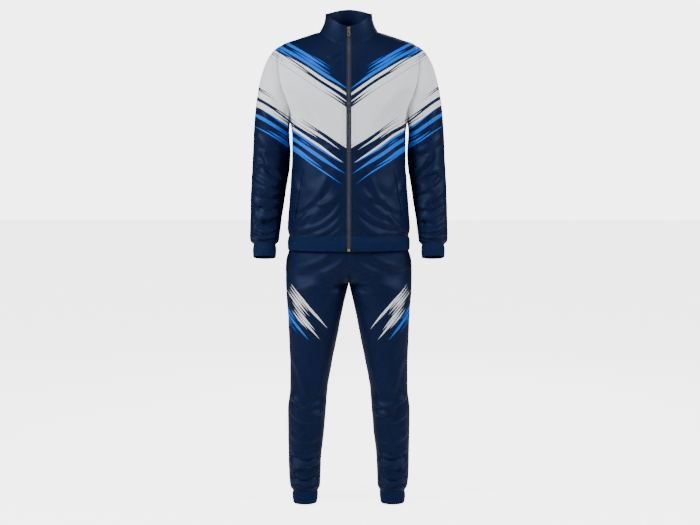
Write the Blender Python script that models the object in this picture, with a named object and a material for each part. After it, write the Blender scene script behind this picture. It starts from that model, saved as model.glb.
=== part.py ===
"""Tracksuit: a zip jacket with a stand-up collar, and cuffed trousers, in their filled-out worn form.

Each piece that a maker cuts and sews is one hollow wall of cloth. The sizes below are in millimetres and the
meshes are made in metres. X runs to the viewer's right, the front faces -Y and Z is up. The origin lies
midway between the two points where the shoulders meet the neck.
"""

import math
from collections import namedtuple

import bmesh
import bpy
import numpy as np

MM = 0.001

# Cloth walls
SHELL_WALL = 1.7
RIB_WALL = 2.2
SEAM_GAP = 0.3
MITRE_LIMIT = 2.2
EVERY_EDGE = "top bottom start end"

# Panel grids: the number of steps along each edge
FRONT_COLUMNS = 8
BACK_COLUMNS = 14
YOKE_COLUMNS = 6
YOKE_ROWS = 4
ARMHOLE_STEPS = 6
SIDE_ROWS = 12
COLLAR_ROWS = 4
BAND_ROWS = 2
CAP_ROWS = 9
ARM_ROWS = 10
LEG_COLUMNS = 8
RISE_ROWS = 8
INSEAM_ROWS = 21

# Zip
ZIP_HALF_OPENING = 7.5
CHAIN_WIDTH = 6.2
CHAIN_THICK = 2.3
TAPE_THICK = 1.0
TAPE_REACH = 15.0
ZIP_SLACK = 0.35
ZIP_END = 0.35
CHAIN_FIRST_STEP = 2.0
BOX_HEIGHT = 8.0
BOX_HALF_WIDTH = 4.2
BOX_OVER_CHAIN = 0.6

# Slider and pull tab, along the slope of the collar front
SLIDER_DROP = 9.5
PLATE_LENGTH = 13.0
PLATE_HALF_WIDTH = 4.8
PLATE_THICK = 1.1
POST_HALF_WIDTH = 2.4
POST_LENGTH = 2.2
BAIL_HALF_WIDTH = 1.1
BAIL_REACH = 3.7
BAIL_BAND = 0.9
BAIL_HALF_LENGTH = 3.5
HINGE_REACH = 1.45
TAB_LENGTH = 27.0
TAB_THICK = 1.5
TAB_HALF_WIDTH = 4.6
TAB_NECK_HALF_WIDTH = 3.4
TAB_BAR = 1.2
WINDOW_LENGTH = 6.2
WINDOW_HALF_WIDTH = 1.9
SLOT_LENGTH = 8.0
SLOT_HALF_WIDTH = 1.7

# Pocket welts
WELT_TOP = (143.0, -428.0)
WELT_BOTTOM = (168.0, -572.0)
WELT_WIDTH = 13.0
WELT_THICK = 1.2
WELT_LIFT = 0.75
WELT_STEPS = 20
WELT_COLUMNS = 3

# Torso rings from the neckline down to the hem seam
Ring = namedtuple("Ring", "half_width front back side_y z_side z_front z_back square")
TORSO = (
    Ring(90.0, -100.0, 66.0, -12.0, -8.0, -60.5, 2.0, 2.05),
    Ring(125.0, -112.0, 89.0, -6.0, -18.5, -86.0, -16.0, 2.10),
    Ring(165.0, -120.5, 107.0, 0.0, -31.0, -113.0, -42.0, 2.15),
    Ring(205.0, -127.0, 122.0, 2.0, -46.0, -142.0, -76.0, 2.25),
    Ring(227.0, -131.0, 133.0, 2.0, -92.0, -174.0, -120.0, 2.45),
    Ring(230.0, -133.5, 139.0, 2.0, -142.0, -208.0, -168.0, 2.60),
    Ring(213.0, -135.0, 141.0, 2.0, -200.0, -242.0, -218.0, 2.55),
    Ring(185.0, -135.5, 140.0, 1.0, -264.0, -280.0, -272.0, 2.45),
    Ring(174.5, -135.0, 137.0, 0.0, -325.0, -330.0, -328.0, 2.40),
    Ring(175.0, -133.5, 131.0, 0.0, -400.0, -400.0, -400.0, 2.40),
    Ring(179.5, -132.0, 127.0, 0.0, -470.0, -470.0, -470.0, 2.40),
    Ring(183.5, -131.0, 128.0, 0.0, -522.0, -522.0, -522.0, 2.40),
    Ring(187.5, -130.5, 131.0, 0.0, -575.0, -575.0, -575.0, 2.40),
    Ring(189.3, -130.5, 133.0, 0.0, -607.0, -607.0, -607.0, 2.40),
    Ring(185.6, -127.0, 130.0, 0.0, -629.0, -629.0, -629.0, 2.40),
)
HEM_RING = float(len(TORSO) - 1)

# Ribbed hem band below the last torso ring
BAND = (
    Ring(189.6, -130.5, 133.5, 0.0, -650.0, -650.0, -650.0, 2.40),
    Ring(188.8, -130.0, 132.5, 0.0, -673.0, -673.0, -673.0, 2.40),
)

# Collar rim
RIM = Ring(72.0, -80.0, 50.0, -14.0, 48.0, 2.4, 69.0, 2.0)
COLLAR_FLARE = 2.3

# Armhole seen from the side, from the shoulder (0) round to the underarm (1)
Armhole = namedtuple("Armhole", "around front_y back_y z")
ARMHOLE = (
    Armhole(0.0, 2.0, 2.0, -46.0),
    Armhole(1 / 6, -38.0, 44.0, -68.0),
    Armhole(1 / 3, -65.0, 74.0, -124.0),
    Armhole(1 / 2, -79.0, 88.0, -176.0),
    Armhole(2 / 3, -76.0, 84.0, -224.0),
    Armhole(5 / 6, -48.0, 54.0, -264.0),
    Armhole(1.0, 2.0, 2.0, -283.0),
)

# Yoke seams: the angle round the torso ring, in degrees from the centre front
Seam = namedtuple("Seam", "along front_angle back_angle")
YOKE_SEAM = (
    Seam(0.0, 66.0, 118.0),
    Seam(0.35, 57.0, 124.0),
    Seam(0.7, 57.5, 124.0),
    Seam(1.0, 0.0, 0.0),
)

# Sleeve rings from the upper arm down to the cuff seam
Arm = namedtuple("Arm", "z outer inner mid_y half_depth tilt")
SLEEVE = (
    Arm(-385.0, 296.5, 180.5, 4.0, 64.0, 0.0),
    Arm(-425.0, 298.8, 183.0, 2.0, 61.0, 2.0),
    Arm(-465.0, 300.8, 190.0, -3.0, 57.5, 5.0),
    Arm(-520.0, 302.6, 197.5, -13.0, 52.5, 8.0),
    Arm(-582.0, 303.2, 207.0, -27.0, 48.5, 10.0),
    Arm(-626.0, 303.4, 212.0, -37.0, 47.0, 12.0),
    Arm(-645.0, 301.6, 214.5, -41.0, 45.0, 12.0),
    Arm(-656.0, 292.6, 223.0, -44.0, 36.5, 12.0),
)
CUFF = (
    Arm(-675.0, 294.2, 221.8, -48.0, 38.0, 12.0),
    Arm(-695.0, 292.8, 223.2, -52.0, 36.5, 12.0),
)
CAP_OUT = (26.0, 228.0)
CAP_DOWN = 78.0
CAP_SWELL = 42.0
CAP_END_DOWN = (92.0, 262.0)

# Trouser rows from the waist seam down to the ankle seam: the outseam, the rise or inseam, and the swell
Leg = namedtuple("Leg", "row z_out x_out y_out z_in x_in in_front in_back lean swell_front swell_back")
LEG = (
    Leg(0.0, -592.0, 175.0, 0.0, -592.0, 0.0, -114.0, 118.0, 0.0, 100.0, 100.0),
    Leg(2.2, -645.0, 181.0, 0.0, -645.0, 0.0, -119.0, 124.0, 0.0, 100.0, 105.0),
    Leg(3.3, -672.0, 185.3, 0.0, -672.0, 0.0, -121.0, 126.0, 0.0, 100.0, 106.0),
    Leg(4.6, -706.0, 194.5, 0.0, -712.0, 0.0, -120.0, 130.0, 0.0, 103.0, 110.0),
    Leg(5.7, -735.0, 196.0, 0.0, -744.0, 0.0, -104.0, 122.0, 0.15, 104.0, 110.0),
    Leg(6.6, -760.0, 196.0, 0.0, -763.0, 0.0, -74.0, 92.0, 0.45, 103.0, 108.0),
    Leg(7.4, -783.0, 195.6, 0.0, -773.0, 0.0, -34.0, 46.0, 0.8, 102.0, 106.0),
    Leg(8.0, -800.0, 195.0, 0.0, -777.0, 0.0, 4.0, 4.0, 1.0, 101.0, 104.0),
    Leg(10.0, -858.0, 190.5, 0.0, -848.0, 16.5, 4.0, 4.0, 1.0, 95.0, 97.0),
    Leg(13.0, -950.0, 186.6, 0.0, -948.0, 36.0, 4.0, 4.0, 1.0, 84.0, 84.0),
    Leg(16.0, -1040.0, 183.8, 0.0, -1040.0, 54.5, 3.0, 3.0, 1.0, 74.0, 70.0),
    Leg(18.0, -1102.0, 184.0, 0.0, -1102.0, 65.0, 2.0, 2.0, 1.0, 68.0, 63.0),
    Leg(20.5, -1178.0, 191.6, 3.0, -1178.0, 71.5, 4.0, 4.0, 1.0, 62.0, 64.0),
    Leg(23.0, -1254.0, 190.8, 8.0, -1254.0, 78.0, 9.0, 9.0, 1.0, 57.0, 62.0),
    Leg(25.5, -1330.0, 190.2, 13.0, -1330.0, 86.5, 13.0, 13.0, 1.0, 53.0, 56.0),
    Leg(27.4, -1388.0, 188.6, 15.0, -1388.0, 89.0, 15.0, 15.0, 1.0, 50.0, 52.0),
    Leg(28.4, -1419.0, 185.0, 15.0, -1419.0, 90.5, 15.0, 15.0, 1.0, 46.0, 48.0),
    Leg(29.0, -1434.0, 177.2, 15.0, -1434.0, 97.0, 15.0, 15.0, 1.0, 39.0, 41.0),
)
WAIST_TOP = Leg(0.0, -555.0, 172.0, 0.0, -555.0, 0.0, -111.0, 115.0, 0.0, 100.0, 100.0)
ANKLE = (
    Leg(0.0, -1453.0, 178.4, 15.0, -1453.0, 97.6, 15.0, 15.0, 1.0, 40.5, 42.5),
    Leg(1.0, -1473.0, 175.4, 15.0, -1473.0, 100.6, 15.0, 15.0, 1.0, 37.5, 39.5),
)
QUARTER_ARC = 0.56
HALF_ARC = 4 / 3

# Largest folds: a soft ridge (or a trough, where the height is negative) along a line seen from the front
Fold = namedtuple("Fold", "x0 z0 x1 z1 width height face")
FOLDS = (
    Fold(-30.0, -505.0, -150.0, -598.0, 17.0, 4.5, "front"),
    Fold(-34.0, -545.0, -120.0, -612.0, 13.0, -3.5, "front"),
    Fold(-22.0, -440.0, -120.0, -500.0, 20.0, 3.5, "front"),
    Fold(32.0, -495.0, 146.0, -596.0, 17.0, 4.5, "front"),
    Fold(38.0, -540.0, 118.0, -610.0, 13.0, -3.5, "front"),
    Fold(24.0, -430.0, 128.0, -492.0, 20.0, 3.5, "front"),
    Fold(-150.0, -300.0, -70.0, -390.0, 22.0, -3.5, "front"),
    Fold(150.0, -300.0, 72.0, -385.0, 22.0, -3.5, "front"),
    Fold(-150.0, -330.0, -40.0, -430.0, 22.0, -4.0, "back"),
    Fold(150.0, -322.0, 38.0, -425.0, 22.0, -4.0, "back"),
    Fold(-30.0, -520.0, -150.0, -590.0, 20.0, 4.0, "back"),
    Fold(34.0, -512.0, 148.0, -586.0, 20.0, 4.0, "back"),
    Fold(-120.0, -560.0, 120.0, -566.0, 16.0, -3.5, "back"),
    Fold(-296.0, -430.0, -196.0, -500.0, 15.0, -4.0, "front"),
    Fold(-200.0, -455.0, -296.0, -520.0, 14.0, 4.0, "front"),
    Fold(-300.0, -565.0, -212.0, -600.0, 13.0, -3.5, "front"),
    Fold(-214.0, -615.0, -300.0, -632.0, 12.0, 4.0, "front"),
    Fold(296.0, -425.0, 196.0, -498.0, 15.0, -4.0, "front"),
    Fold(200.0, -460.0, 296.0, -524.0, 14.0, 4.0, "front"),
    Fold(300.0, -560.0, 212.0, -598.0, 13.0, -3.5, "front"),
    Fold(214.0, -612.0, 300.0, -634.0, 12.0, 4.0, "front"),
    Fold(-296.0, -470.0, -200.0, -440.0, 16.0, -4.0, "back"),
    Fold(-296.0, -610.0, -214.0, -590.0, 14.0, 4.0, "back"),
    Fold(296.0, -466.0, 200.0, -436.0, 16.0, -4.0, "back"),
    Fold(296.0, -606.0, 214.0, -588.0, 14.0, 4.0, "back"),
    Fold(-278.0, -250.0, -230.0, -330.0, 18.0, 4.0, "front"),
    Fold(278.0, -250.0, 230.0, -330.0, 18.0, 4.0, "front"),
    Fold(-40.0, -700.0, -150.0, -765.0, 18.0, -4.0, "front"),
    Fold(42.0, -698.0, 150.0, -762.0, 18.0, -4.0, "front"),
    Fold(-18.0, -790.0, -120.0, -838.0, 17.0, 4.0, "front"),
    Fold(18.0, -790.0, 118.0, -834.0, 17.0, 4.0, "front"),
    Fold(-20.0, -800.0, -150.0, -770.0, 22.0, -4.5, "back"),
    Fold(20.0, -800.0, 150.0, -766.0, 22.0, -4.5, "back"),
    Fold(-70.0, -1125.0, -170.0, -1165.0, 16.0, -4.5, "front"),
    Fold(-176.0, -1128.0, -84.0, -1194.0, 15.0, 3.5, "front"),
    Fold(70.0, -1120.0, 168.0, -1160.0, 16.0, -4.5, "front"),
    Fold(176.0, -1126.0, 84.0, -1190.0, 15.0, 3.5, "front"),
    Fold(-176.0, -1110.0, -72.0, -1140.0, 15.0, -4.5, "back"),
    Fold(176.0, -1106.0, 72.0, -1136.0, 15.0, -4.5, "back"),
    Fold(-92.0, -1300.0, -184.0, -1324.0, 13.0, -4.5, "front"),
    Fold(-94.0, -1340.0, -184.0, -1352.0, 13.0, 4.5, "front"),
    Fold(-96.0, -1384.0, -182.0, -1380.0, 13.0, -4.5, "front"),
    Fold(92.0, -1302.0, 184.0, -1322.0, 13.0, -4.5, "front"),
    Fold(94.0, -1342.0, 184.0, -1350.0, 13.0, 4.5, "front"),
    Fold(96.0, -1382.0, 182.0, -1378.0, 13.0, -4.5, "front"),
    Fold(-92.0, -1330.0, -184.0, -1310.0, 14.0, -4.0, "back"),
    Fold(-94.0, -1385.0, -184.0, -1372.0, 14.0, 4.5, "back"),
    Fold(92.0, -1328.0, 184.0, -1308.0, 14.0, -4.0, "back"),
    Fold(94.0, -1383.0, 184.0, -1370.0, 14.0, 4.5, "back"),
)
FOLD_CLEAR_FROM = 31.0
FOLD_CLEAR_OVER = 40.0

# Colours, roughness and metallic value
Finish = namedtuple("Finish", "colour roughness metallic")
NAVY = Finish((0.010, 0.026, 0.085), 0.55, 0.0)
NAVY_RIB = Finish((0.008, 0.022, 0.072), 0.7, 0.0)
TAPE = Finish((0.012, 0.020, 0.050), 0.8, 0.0)
COIL = Finish((0.03, 0.035, 0.045), 0.4, 0.0)
NICKEL = Finish((0.28, 0.25, 0.21), 0.35, 1.0)
BRASS = Finish((0.45, 0.33, 0.15), 0.4, 1.0)


def smooth(knots, values, at):
    """Cubic curve through the values, which never overshoots them."""
    knots = np.asarray(knots, float)
    values = np.asarray(values, float)
    at = np.clip(np.asarray(at, float), knots[0], knots[-1])
    steps = np.diff(knots)
    slopes = np.diff(values) / steps
    tangents = np.zeros_like(values)
    tangents[0], tangents[-1] = slopes[0], slopes[-1]
    same_way = slopes[:-1] * slopes[1:] > 0
    before, after = slopes[:-1][same_way], slopes[1:][same_way]
    tangents[1:-1][same_way] = 2 * before * after / (before + after)
    place = np.clip(np.searchsorted(knots, at, side="right") - 1, 0, len(steps) - 1)
    step = steps[place]
    t = (at - knots[place]) / step
    return (
        (1 + 2 * t) * (1 - t) ** 2 * values[place]
        + t * (1 - t) ** 2 * step * tangents[place]
        + t * t * (3 - 2 * t) * values[place + 1]
        + t * t * (t - 1) * step * tangents[place + 1]
    )


def column(rows, name):
    """One named column of a table."""
    return [getattr(row, name) for row in rows]


def blend(first, last, share):
    """Value a share of the way from the first to the last."""
    return first + (last - first) * share


def ring_points(size, angle):
    """Points on a ring at angles (radians) from the centre front, +X side for positive angles."""
    across, along = np.sin(angle), np.cos(angle)
    square = size["square"]
    radius = (np.abs(across) ** square + np.abs(along) ** square) ** (-1 / square)
    is_front = along >= 0
    depth = np.where(is_front, size["side_y"] - size["front"], size["back"] - size["side_y"])
    z_end = np.where(is_front, size["z_front"], size["z_back"])
    x = size["half_width"] * radius * across
    y = size["side_y"] - depth * radius * along
    z = size["z_side"] + (z_end - size["z_side"]) * along**2
    return np.stack([x, y, z], axis=-1)


def torso_points(angle, level):
    """Points of the torso surface at angles round it and at levels in ring numbers."""
    level = np.asarray(level, float)
    numbers = range(len(TORSO))
    size = {name: smooth(numbers, column(TORSO, name), level) for name in Ring._fields}
    return ring_points(size, np.asarray(angle, float))


def find_from_side(y, z, is_front):
    """Angle and level of the torso point that a side view shows at y and z."""
    angle = math.radians(70.0 if is_front else 110.0)
    level = float(np.interp(-z, [-row.z_side for row in TORSO], range(len(TORSO))))
    tiny = 1e-4
    for _ in range(40):
        here = torso_points(angle, level)
        turn = (torso_points(angle + tiny, level) - here) / tiny
        sink = (torso_points(angle, level + tiny) - here) / tiny
        slopes = np.array([[turn[1], sink[1]], [turn[2], sink[2]]])
        step = np.linalg.solve(slopes, np.array([y - here[1], z - here[2]]))
        angle += float(np.clip(step[0], -0.2, 0.2))
        level += float(np.clip(step[1], -0.5, 0.5))
    return angle, level


def armhole_places(is_front):
    """Angles and levels of one half of the armhole, from the shoulder to the underarm."""
    around = np.linspace(0, 1, YOKE_COLUMNS // 2 + ARMHOLE_STEPS + 1)
    y = smooth(column(ARMHOLE, "around"), column(ARMHOLE, "front_y" if is_front else "back_y"), around)
    z = smooth(column(ARMHOLE, "around"), column(ARMHOLE, "z"), around)
    return np.array([find_from_side(y[i], z[i], is_front) for i in range(len(around))])


def outer_edge(is_front):
    """Angles and levels down a front's or back's outer edge: yoke seam, armhole and side seam."""
    armhole = armhole_places(is_front)[YOKE_COLUMNS // 2:]
    seam = yoke_seam(is_front, armhole[0])
    underarm = armhole[-1]
    down = np.linspace(0, 1, SIDE_ROWS + 1)[1:]
    side = np.stack([np.full(SIDE_ROWS, math.pi / 2), blend(underarm[1], HEM_RING, down)], axis=1)
    armhole[-1] = (math.pi / 2, underarm[1])
    return np.concatenate([seam, armhole[1:], side])


def yoke_seam(is_front, end):
    """Angles and levels along a yoke seam, from the neckline to its end on the armhole."""
    along = np.linspace(0, 1, YOKE_ROWS + 1)
    angles = column(YOKE_SEAM, "front_angle" if is_front else "back_angle")
    angles = [math.radians(value) for value in angles[:-1]] + [end[0]]
    angle = smooth(column(YOKE_SEAM, "along"), angles, along)
    return np.stack([angle, along * end[1]], axis=1)


def centre_levels(name, count):
    """Ring numbers that part the centre front or back into even steps."""
    fine = np.linspace(0, HEM_RING, 400)
    heights = smooth(range(len(TORSO)), column(TORSO, name), fine)
    even = np.linspace(heights[0], heights[-1], count + 1)
    return np.interp(-even, -heights, fine)


def front_grid():
    """Grid of the +X front, from the zip edge to the outer edge."""
    outer = outer_edge(True)
    levels = centre_levels("z_front", len(outer) - 1)
    share = np.linspace(0, 1, FRONT_COLUMNS + 1)
    rows = []
    for (angle, level), centre in zip(outer, levels):
        size = smooth(range(len(TORSO)), column(TORSO, "half_width"), centre)
        start = math.asin(ZIP_HALF_OPENING / float(size))
        row = torso_points(blend(start, angle, share), blend(centre, level, share**1.5))
        row[0, 0] = ZIP_HALF_OPENING
        rows.append(row)
    return np.array(rows)


def back_grid():
    """Grid of the whole back, from its +X edge to its -X edge."""
    outer = outer_edge(False)
    levels = centre_levels("z_back", len(outer) - 1)
    share = np.linspace(0, 1, BACK_COLUMNS // 2 + 1)
    rows = []
    for (angle, level), centre in zip(outer, levels):
        half = torso_points(blend(angle, math.pi, share), blend(centre, level, (1 - share) ** 2))
        half[-1, 0] = 0.0
        rows.append(np.concatenate([half, mirrored(half[:-1][::-1])]))
    return np.array(rows)


def yoke_grid():
    """Grid of the +X yoke, from its front seam over the shoulder to its back seam."""
    half = YOKE_COLUMNS // 2
    front, back = armhole_places(True), armhole_places(False)
    arm = np.concatenate([front[half:0:-1], [[math.pi / 2, front[0][1]]], back[1:half + 1]])
    seams = yoke_seam(True, front[half]), yoke_seam(False, back[half])
    share = np.linspace(0, 1, YOKE_COLUMNS + 1)
    rows = []
    for number in range(YOKE_ROWS + 1):
        down = number / YOKE_ROWS
        start, end = seams[0][number], seams[1][number]
        neck = blend(seams[0][0], seams[1][0], share[:, None])
        straight = blend(start, end, share[:, None])
        ruled = blend(neck, arm, down)
        corners = blend(blend(neck[0], arm[0], down), blend(neck[-1], arm[-1], down), share[:, None])
        place = straight + ruled - corners
        rows.append(torso_points(place[:, 0], place[:, 1]))
    return np.array(rows)


def mirrored(points):
    """The same points on the other side of the middle."""
    return points * np.array([-1.0, 1.0, 1.0])


def ring_row(rings, angles, share):
    """Points on the ring that lies a share of the way down a short table of rings."""
    numbers = range(len(rings))
    down = share * (len(rings) - 1)
    size = {name: smooth(numbers, column(rings, name), down) for name in Ring._fields}
    return ring_points(size, angles)


def angles_round(points, ring):
    """Angle of each point round a ring, found from its place in plan."""
    depth = np.where(points[:, 1] < ring.side_y, ring.side_y - ring.front, ring.back - ring.side_y)
    return np.arctan2(points[:, 0] / ring.half_width, (ring.side_y - points[:, 1]) / depth)


def open_loop(front, yoke, back, row):
    """One row of points from the +X zip edge round the back to the -X zip edge."""
    half = [front[row]] + ([yoke[row][1:]] if yoke is not None else [])
    half = np.concatenate(half + [back[row][1:BACK_COLUMNS // 2 + 1]])
    return np.concatenate([half, mirrored(half[:-1][::-1])])


def collar_grid(neckline):
    """Grid of the collar, from the neckline up to the rim."""
    angles = angles_round(neckline, TORSO[0])
    rim = ring_points(RIM._asdict(), angles)
    flare = 1 + (COLLAR_FLARE - 1) * np.sin(angles[:, None]) ** 2
    rim[0, 0], rim[-1, 0] = ZIP_HALF_OPENING, -ZIP_HALF_OPENING
    rows = []
    for up in np.linspace(1, 0, COLLAR_ROWS + 1):
        inward = 1 - (1 - up) ** flare
        rows.append(blend(neckline, rim, np.hstack([inward, inward, np.full_like(inward, up)])))
    return np.array(rows)


def band_grid(seam_row):
    """Grid of the hem band, from its seam down to the hem."""
    rings = (TORSO[-1],) + BAND
    angles = angles_round(seam_row, TORSO[-1])
    rows = [ring_row(rings, angles, share) for share in np.linspace(0, 1, BAND_ROWS + 1)]
    rows[0] = seam_row
    for row in rows:
        row[0, 0], row[-1, 0] = ZIP_HALF_OPENING, -ZIP_HALF_OPENING
    return np.array(rows)


def arm_ring(rows, down, turn):
    """Points round a sleeve at turns (radians) from its outer side, towards the front."""
    size = Arm(*(smooth(range(len(rows)), column(rows, name), down) for name in Arm._fields))
    x = (size.outer + size.inner) / 2 + (size.outer - size.inner) / 2 * np.cos(turn)
    y = size.mid_y - size.half_depth * np.sin(turn)
    return np.stack([x, y, size.z - (y - size.mid_y) * np.tan(np.radians(size.tilt))], axis=-1)


def sleeve_grid():
    """Grid of the +X sleeve, a tube from the armhole to the cuff seam."""
    front, back = armhole_places(True), armhole_places(False)
    front[0, 0] = front[-1, 0] = math.pi / 2
    places = np.concatenate([front, back[-2:0:-1]])
    start = torso_points(places[:, 0], places[:, 1])
    turn = np.linspace(0, 2 * math.pi, len(start) + 1)[:-1]
    end = arm_ring(SLEEVE, 0.0, turn)
    top = (1 + np.cos(turn)) / 2
    leave = np.stack([blend(*CAP_OUT, top), -CAP_SWELL * np.sin(turn), np.full(len(turn), -CAP_DOWN)], axis=1)
    arrive = np.stack([np.full(len(turn), 8.0), np.zeros(len(turn)), -blend(*CAP_END_DOWN, top)], axis=1)
    rows = []
    for t in np.linspace(0, 1, CAP_ROWS + 1):
        rows.append(
            (1 + 2 * t) * (1 - t) ** 2 * start
            + t * (1 - t) ** 2 * leave
            + t * t * (3 - 2 * t) * end
            + t * t * (t - 1) * arrive
        )
    for down in np.linspace(0, len(SLEEVE) - 1, ARM_ROWS + 1)[1:]:
        rows.append(arm_ring(SLEEVE, down, turn))
    return np.array(rows)


def cuff_grid(seam_row):
    """Grid of the +X cuff, from its seam with the sleeve down."""
    turn = np.linspace(0, 2 * math.pi, len(seam_row) + 1)[:-1]
    return np.array([seam_row] + [arm_ring(CUFF, float(number), turn) for number in range(len(CUFF))])


def leg_row(size, is_front):
    """One row of a +X trouser panel, from the rise or inseam to the outseam."""
    sign = -1.0 if is_front else 1.0
    share = np.linspace(0, 1, LEG_COLUMNS + 1)[:, None]
    start = np.array([size["x_in"], size["in_front" if is_front else "in_back"], size["z_in"]], float)
    end = np.array([size["x_out"], size["y_out"], size["z_out"]], float)
    swell = size["swell_front" if is_front else "swell_back"] * HALF_ARC
    lean = size["lean"]
    from_start = np.array([(1 - lean) * QUARTER_ARC * size["x_out"], sign * lean * swell, 0.0])
    reach = blend(QUARTER_ARC * abs(start[1] - end[1]), swell, lean)
    from_end = np.array([0.0, sign * reach, 0.0])
    return (
        (1 - share) ** 3 * start
        + 3 * share * (1 - share) ** 2 * (start + from_start)
        + 3 * share**2 * (1 - share) * (end + from_end)
        + share**3 * end
    )


def leg_grid(is_front):
    """Grid of a +X trouser front or back, from the waist seam to the ankle seam."""
    rows = []
    for number in range(RISE_ROWS + INSEAM_ROWS + 1):
        size = {name: float(smooth(column(LEG, "row"), column(LEG, name), number)) for name in Leg._fields}
        rows.append(leg_row(size, is_front))
    return np.array(rows)


def ankle_grid():
    """Grid of the +X ankle cuff, a tube below the ankle seam."""
    rows = []
    for size in (LEG[-1],) + ANKLE:
        front, back = (leg_row(size._asdict(), is_front) for is_front in (True, False))
        rows.append(np.concatenate([front, back[-2:0:-1]]))
    return np.array(rows)


def waistband_grid():
    """Grid of the trouser waistband, a closed ring above the waist seam."""
    rows = []
    for size in (WAIST_TOP, LEG[0]):
        front, back = (leg_row(size._asdict(), is_front) for is_front in (True, False))
        half = np.concatenate([front, back[-2::-1]])
        rows.append(np.concatenate([half, mirrored(half[-2:0:-1])]))
    return np.array(rows)


class Panel:
    """A piece of cloth: its outer grid, and which of its edges meet another piece."""

    def __init__(self, name, grid, inside, closed=False, wall=SHELL_WALL, seams="", finish=NAVY):
        self.name = name
        self.base = np.array(grid, float)
        self.closed = closed
        self.wall = wall
        self.seams = seams.split()
        self.finish = finish
        self.turned = self._points_inward(np.array(inside, float))
        self.outer = self.base.copy()
        self.inner = self.base.copy()
        self.normals = np.zeros_like(self.base)
        self.mitres = np.ones(self.base.shape[:2])

    def corners(self, points):
        """The four corner arrays of each cell of the grid."""
        after = np.roll(points, -1, axis=1) if self.closed else points[:, 1:]
        before = points if self.closed else points[:, :-1]
        return before[:-1], after[:-1], after[1:], before[1:]

    def face_normals(self, points):
        """Area-weighted outward normal of each cell."""
        a, b, c, d = self.corners(points)
        normal = np.cross(c - a, d - b)
        return -normal if self.turned else normal

    def corner_angles(self, points):
        """Angle of each cell at its four corners."""
        corners = self.corners(points)
        angles = []
        for number, here in enumerate(corners):
            one, other = corners[(number + 1) % 4] - here, corners[number - 1] - here
            across = np.linalg.norm(np.cross(one, other), axis=2)
            angles.append(np.arctan2(across, np.sum(one * other, axis=2)))
        return np.stack(angles, axis=2)

    def _points_inward(self, inside):
        self.turned = False
        a, b, c, d = self.corners(self.base)
        middle = (a + b + c + d) / 4
        if self.closed:
            inside = self.base.mean(axis=1, keepdims=True)[:-1]
        return float(np.sum(self.face_normals(self.base) * (middle - inside))) < 0

    def keys(self):
        """A key for each grid point that pieces with that point share."""
        rounded = np.round(self.base * 1000).astype(np.int64)
        return [[tuple(point) for point in row] for row in rounded]

    def seam_pull(self):
        """Half the seam gap at each edge that meets another piece, along the cloth and away from it."""
        pull = np.zeros_like(self.outer)
        points = self.outer
        if "top" in self.seams:
            pull[0] += self._away(points[0], points[1], self.normals[0])
        if "bottom" in self.seams:
            pull[-1] += self._away(points[-1], points[-2], self.normals[-1])
        if "start" in self.seams:
            pull[:, 0] += self._away(points[:, 0], points[:, 1], self.normals[:, 0], False)
        if "end" in self.seams:
            pull[:, -1] += self._away(points[:, -1], points[:, -2], self.normals[:, -1], False)
        return pull

    def _away(self, edge, beside, normals, may_close=True):
        if may_close and self.closed:
            along = np.roll(edge, -1, axis=0) - np.roll(edge, 1, axis=0)
        else:
            along = np.gradient(edge, axis=0)
        across = np.cross(along, normals)
        across /= np.linalg.norm(across, axis=1, keepdims=True)
        side = np.sum(across * (beside - edge), axis=1, keepdims=True)
        return across * np.where(side < 0, -1.0, 1.0) * SEAM_GAP / 2


def shared_normals(panels):
    """Give each grid point one normal, shared by the pieces that meet there, and its mitre."""
    sums = {}
    for panel in panels:
        faces = panel.face_normals(panel.outer)
        faces /= np.linalg.norm(faces, axis=2, keepdims=True)
        angles = panel.corner_angles(panel.outer)
        keys = panel.keys()
        for r, c in np.ndindex(faces.shape[:2]):
            after = (c + 1) % len(keys[0])
            cell = (keys[r][c], keys[r][after], keys[r + 1][after], keys[r + 1][c])
            for key, angle in zip(cell, angles[r, c]):
                sums.setdefault(key, []).append(faces[r, c] * angle)
    for panel in panels:
        normals = np.zeros_like(panel.outer)
        mitres = np.ones(panel.outer.shape[:2])
        for r, row in enumerate(panel.keys()):
            for c, key in enumerate(row):
                faces = np.array(sums[key])
                total = faces.sum(axis=0)
                normal = total / np.linalg.norm(total)
                slant = float(np.sum(faces @ normal) / np.sum(np.linalg.norm(faces, axis=1)))
                normals[r, c] = normal
                mitres[r, c] = 1 / np.clip(slant, 1 / MITRE_LIMIT, 1.0)
        panel.normals = normals
        panel.mitres = mitres


def fold_heights(points, normals):
    """How far the folds lift each point off the plain surface."""
    lift = np.zeros(points.shape[:2])
    for fold in FOLDS:
        facing = -normals[..., 1] if fold.face == "front" else normals[..., 1]
        run = np.array([fold.x1 - fold.x0, fold.z1 - fold.z0])
        length = np.linalg.norm(run)
        run /= length
        from_start = points[..., (0, 2)] - np.array([fold.x0, fold.z0])
        along = from_start @ run
        aside = from_start @ np.array([-run[1], run[0]])
        end = np.clip(np.minimum(along + fold.width, length + fold.width - along) / (2 * fold.width), 0, 1)
        fade = end * end * (3 - 2 * end)
        lift += fold.height * np.exp(-((aside / fold.width) ** 2)) * fade * np.clip(facing * 1.5, 0, 1)
    is_jacket_front = (normals[..., 1] < 0) & (points[..., 2] > BAND[-1].z_side)
    near = np.clip((np.abs(points[..., 0]) - FOLD_CLEAR_FROM) / FOLD_CLEAR_OVER, 0, 1)
    return np.where(is_jacket_front, lift * near, lift)


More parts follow.
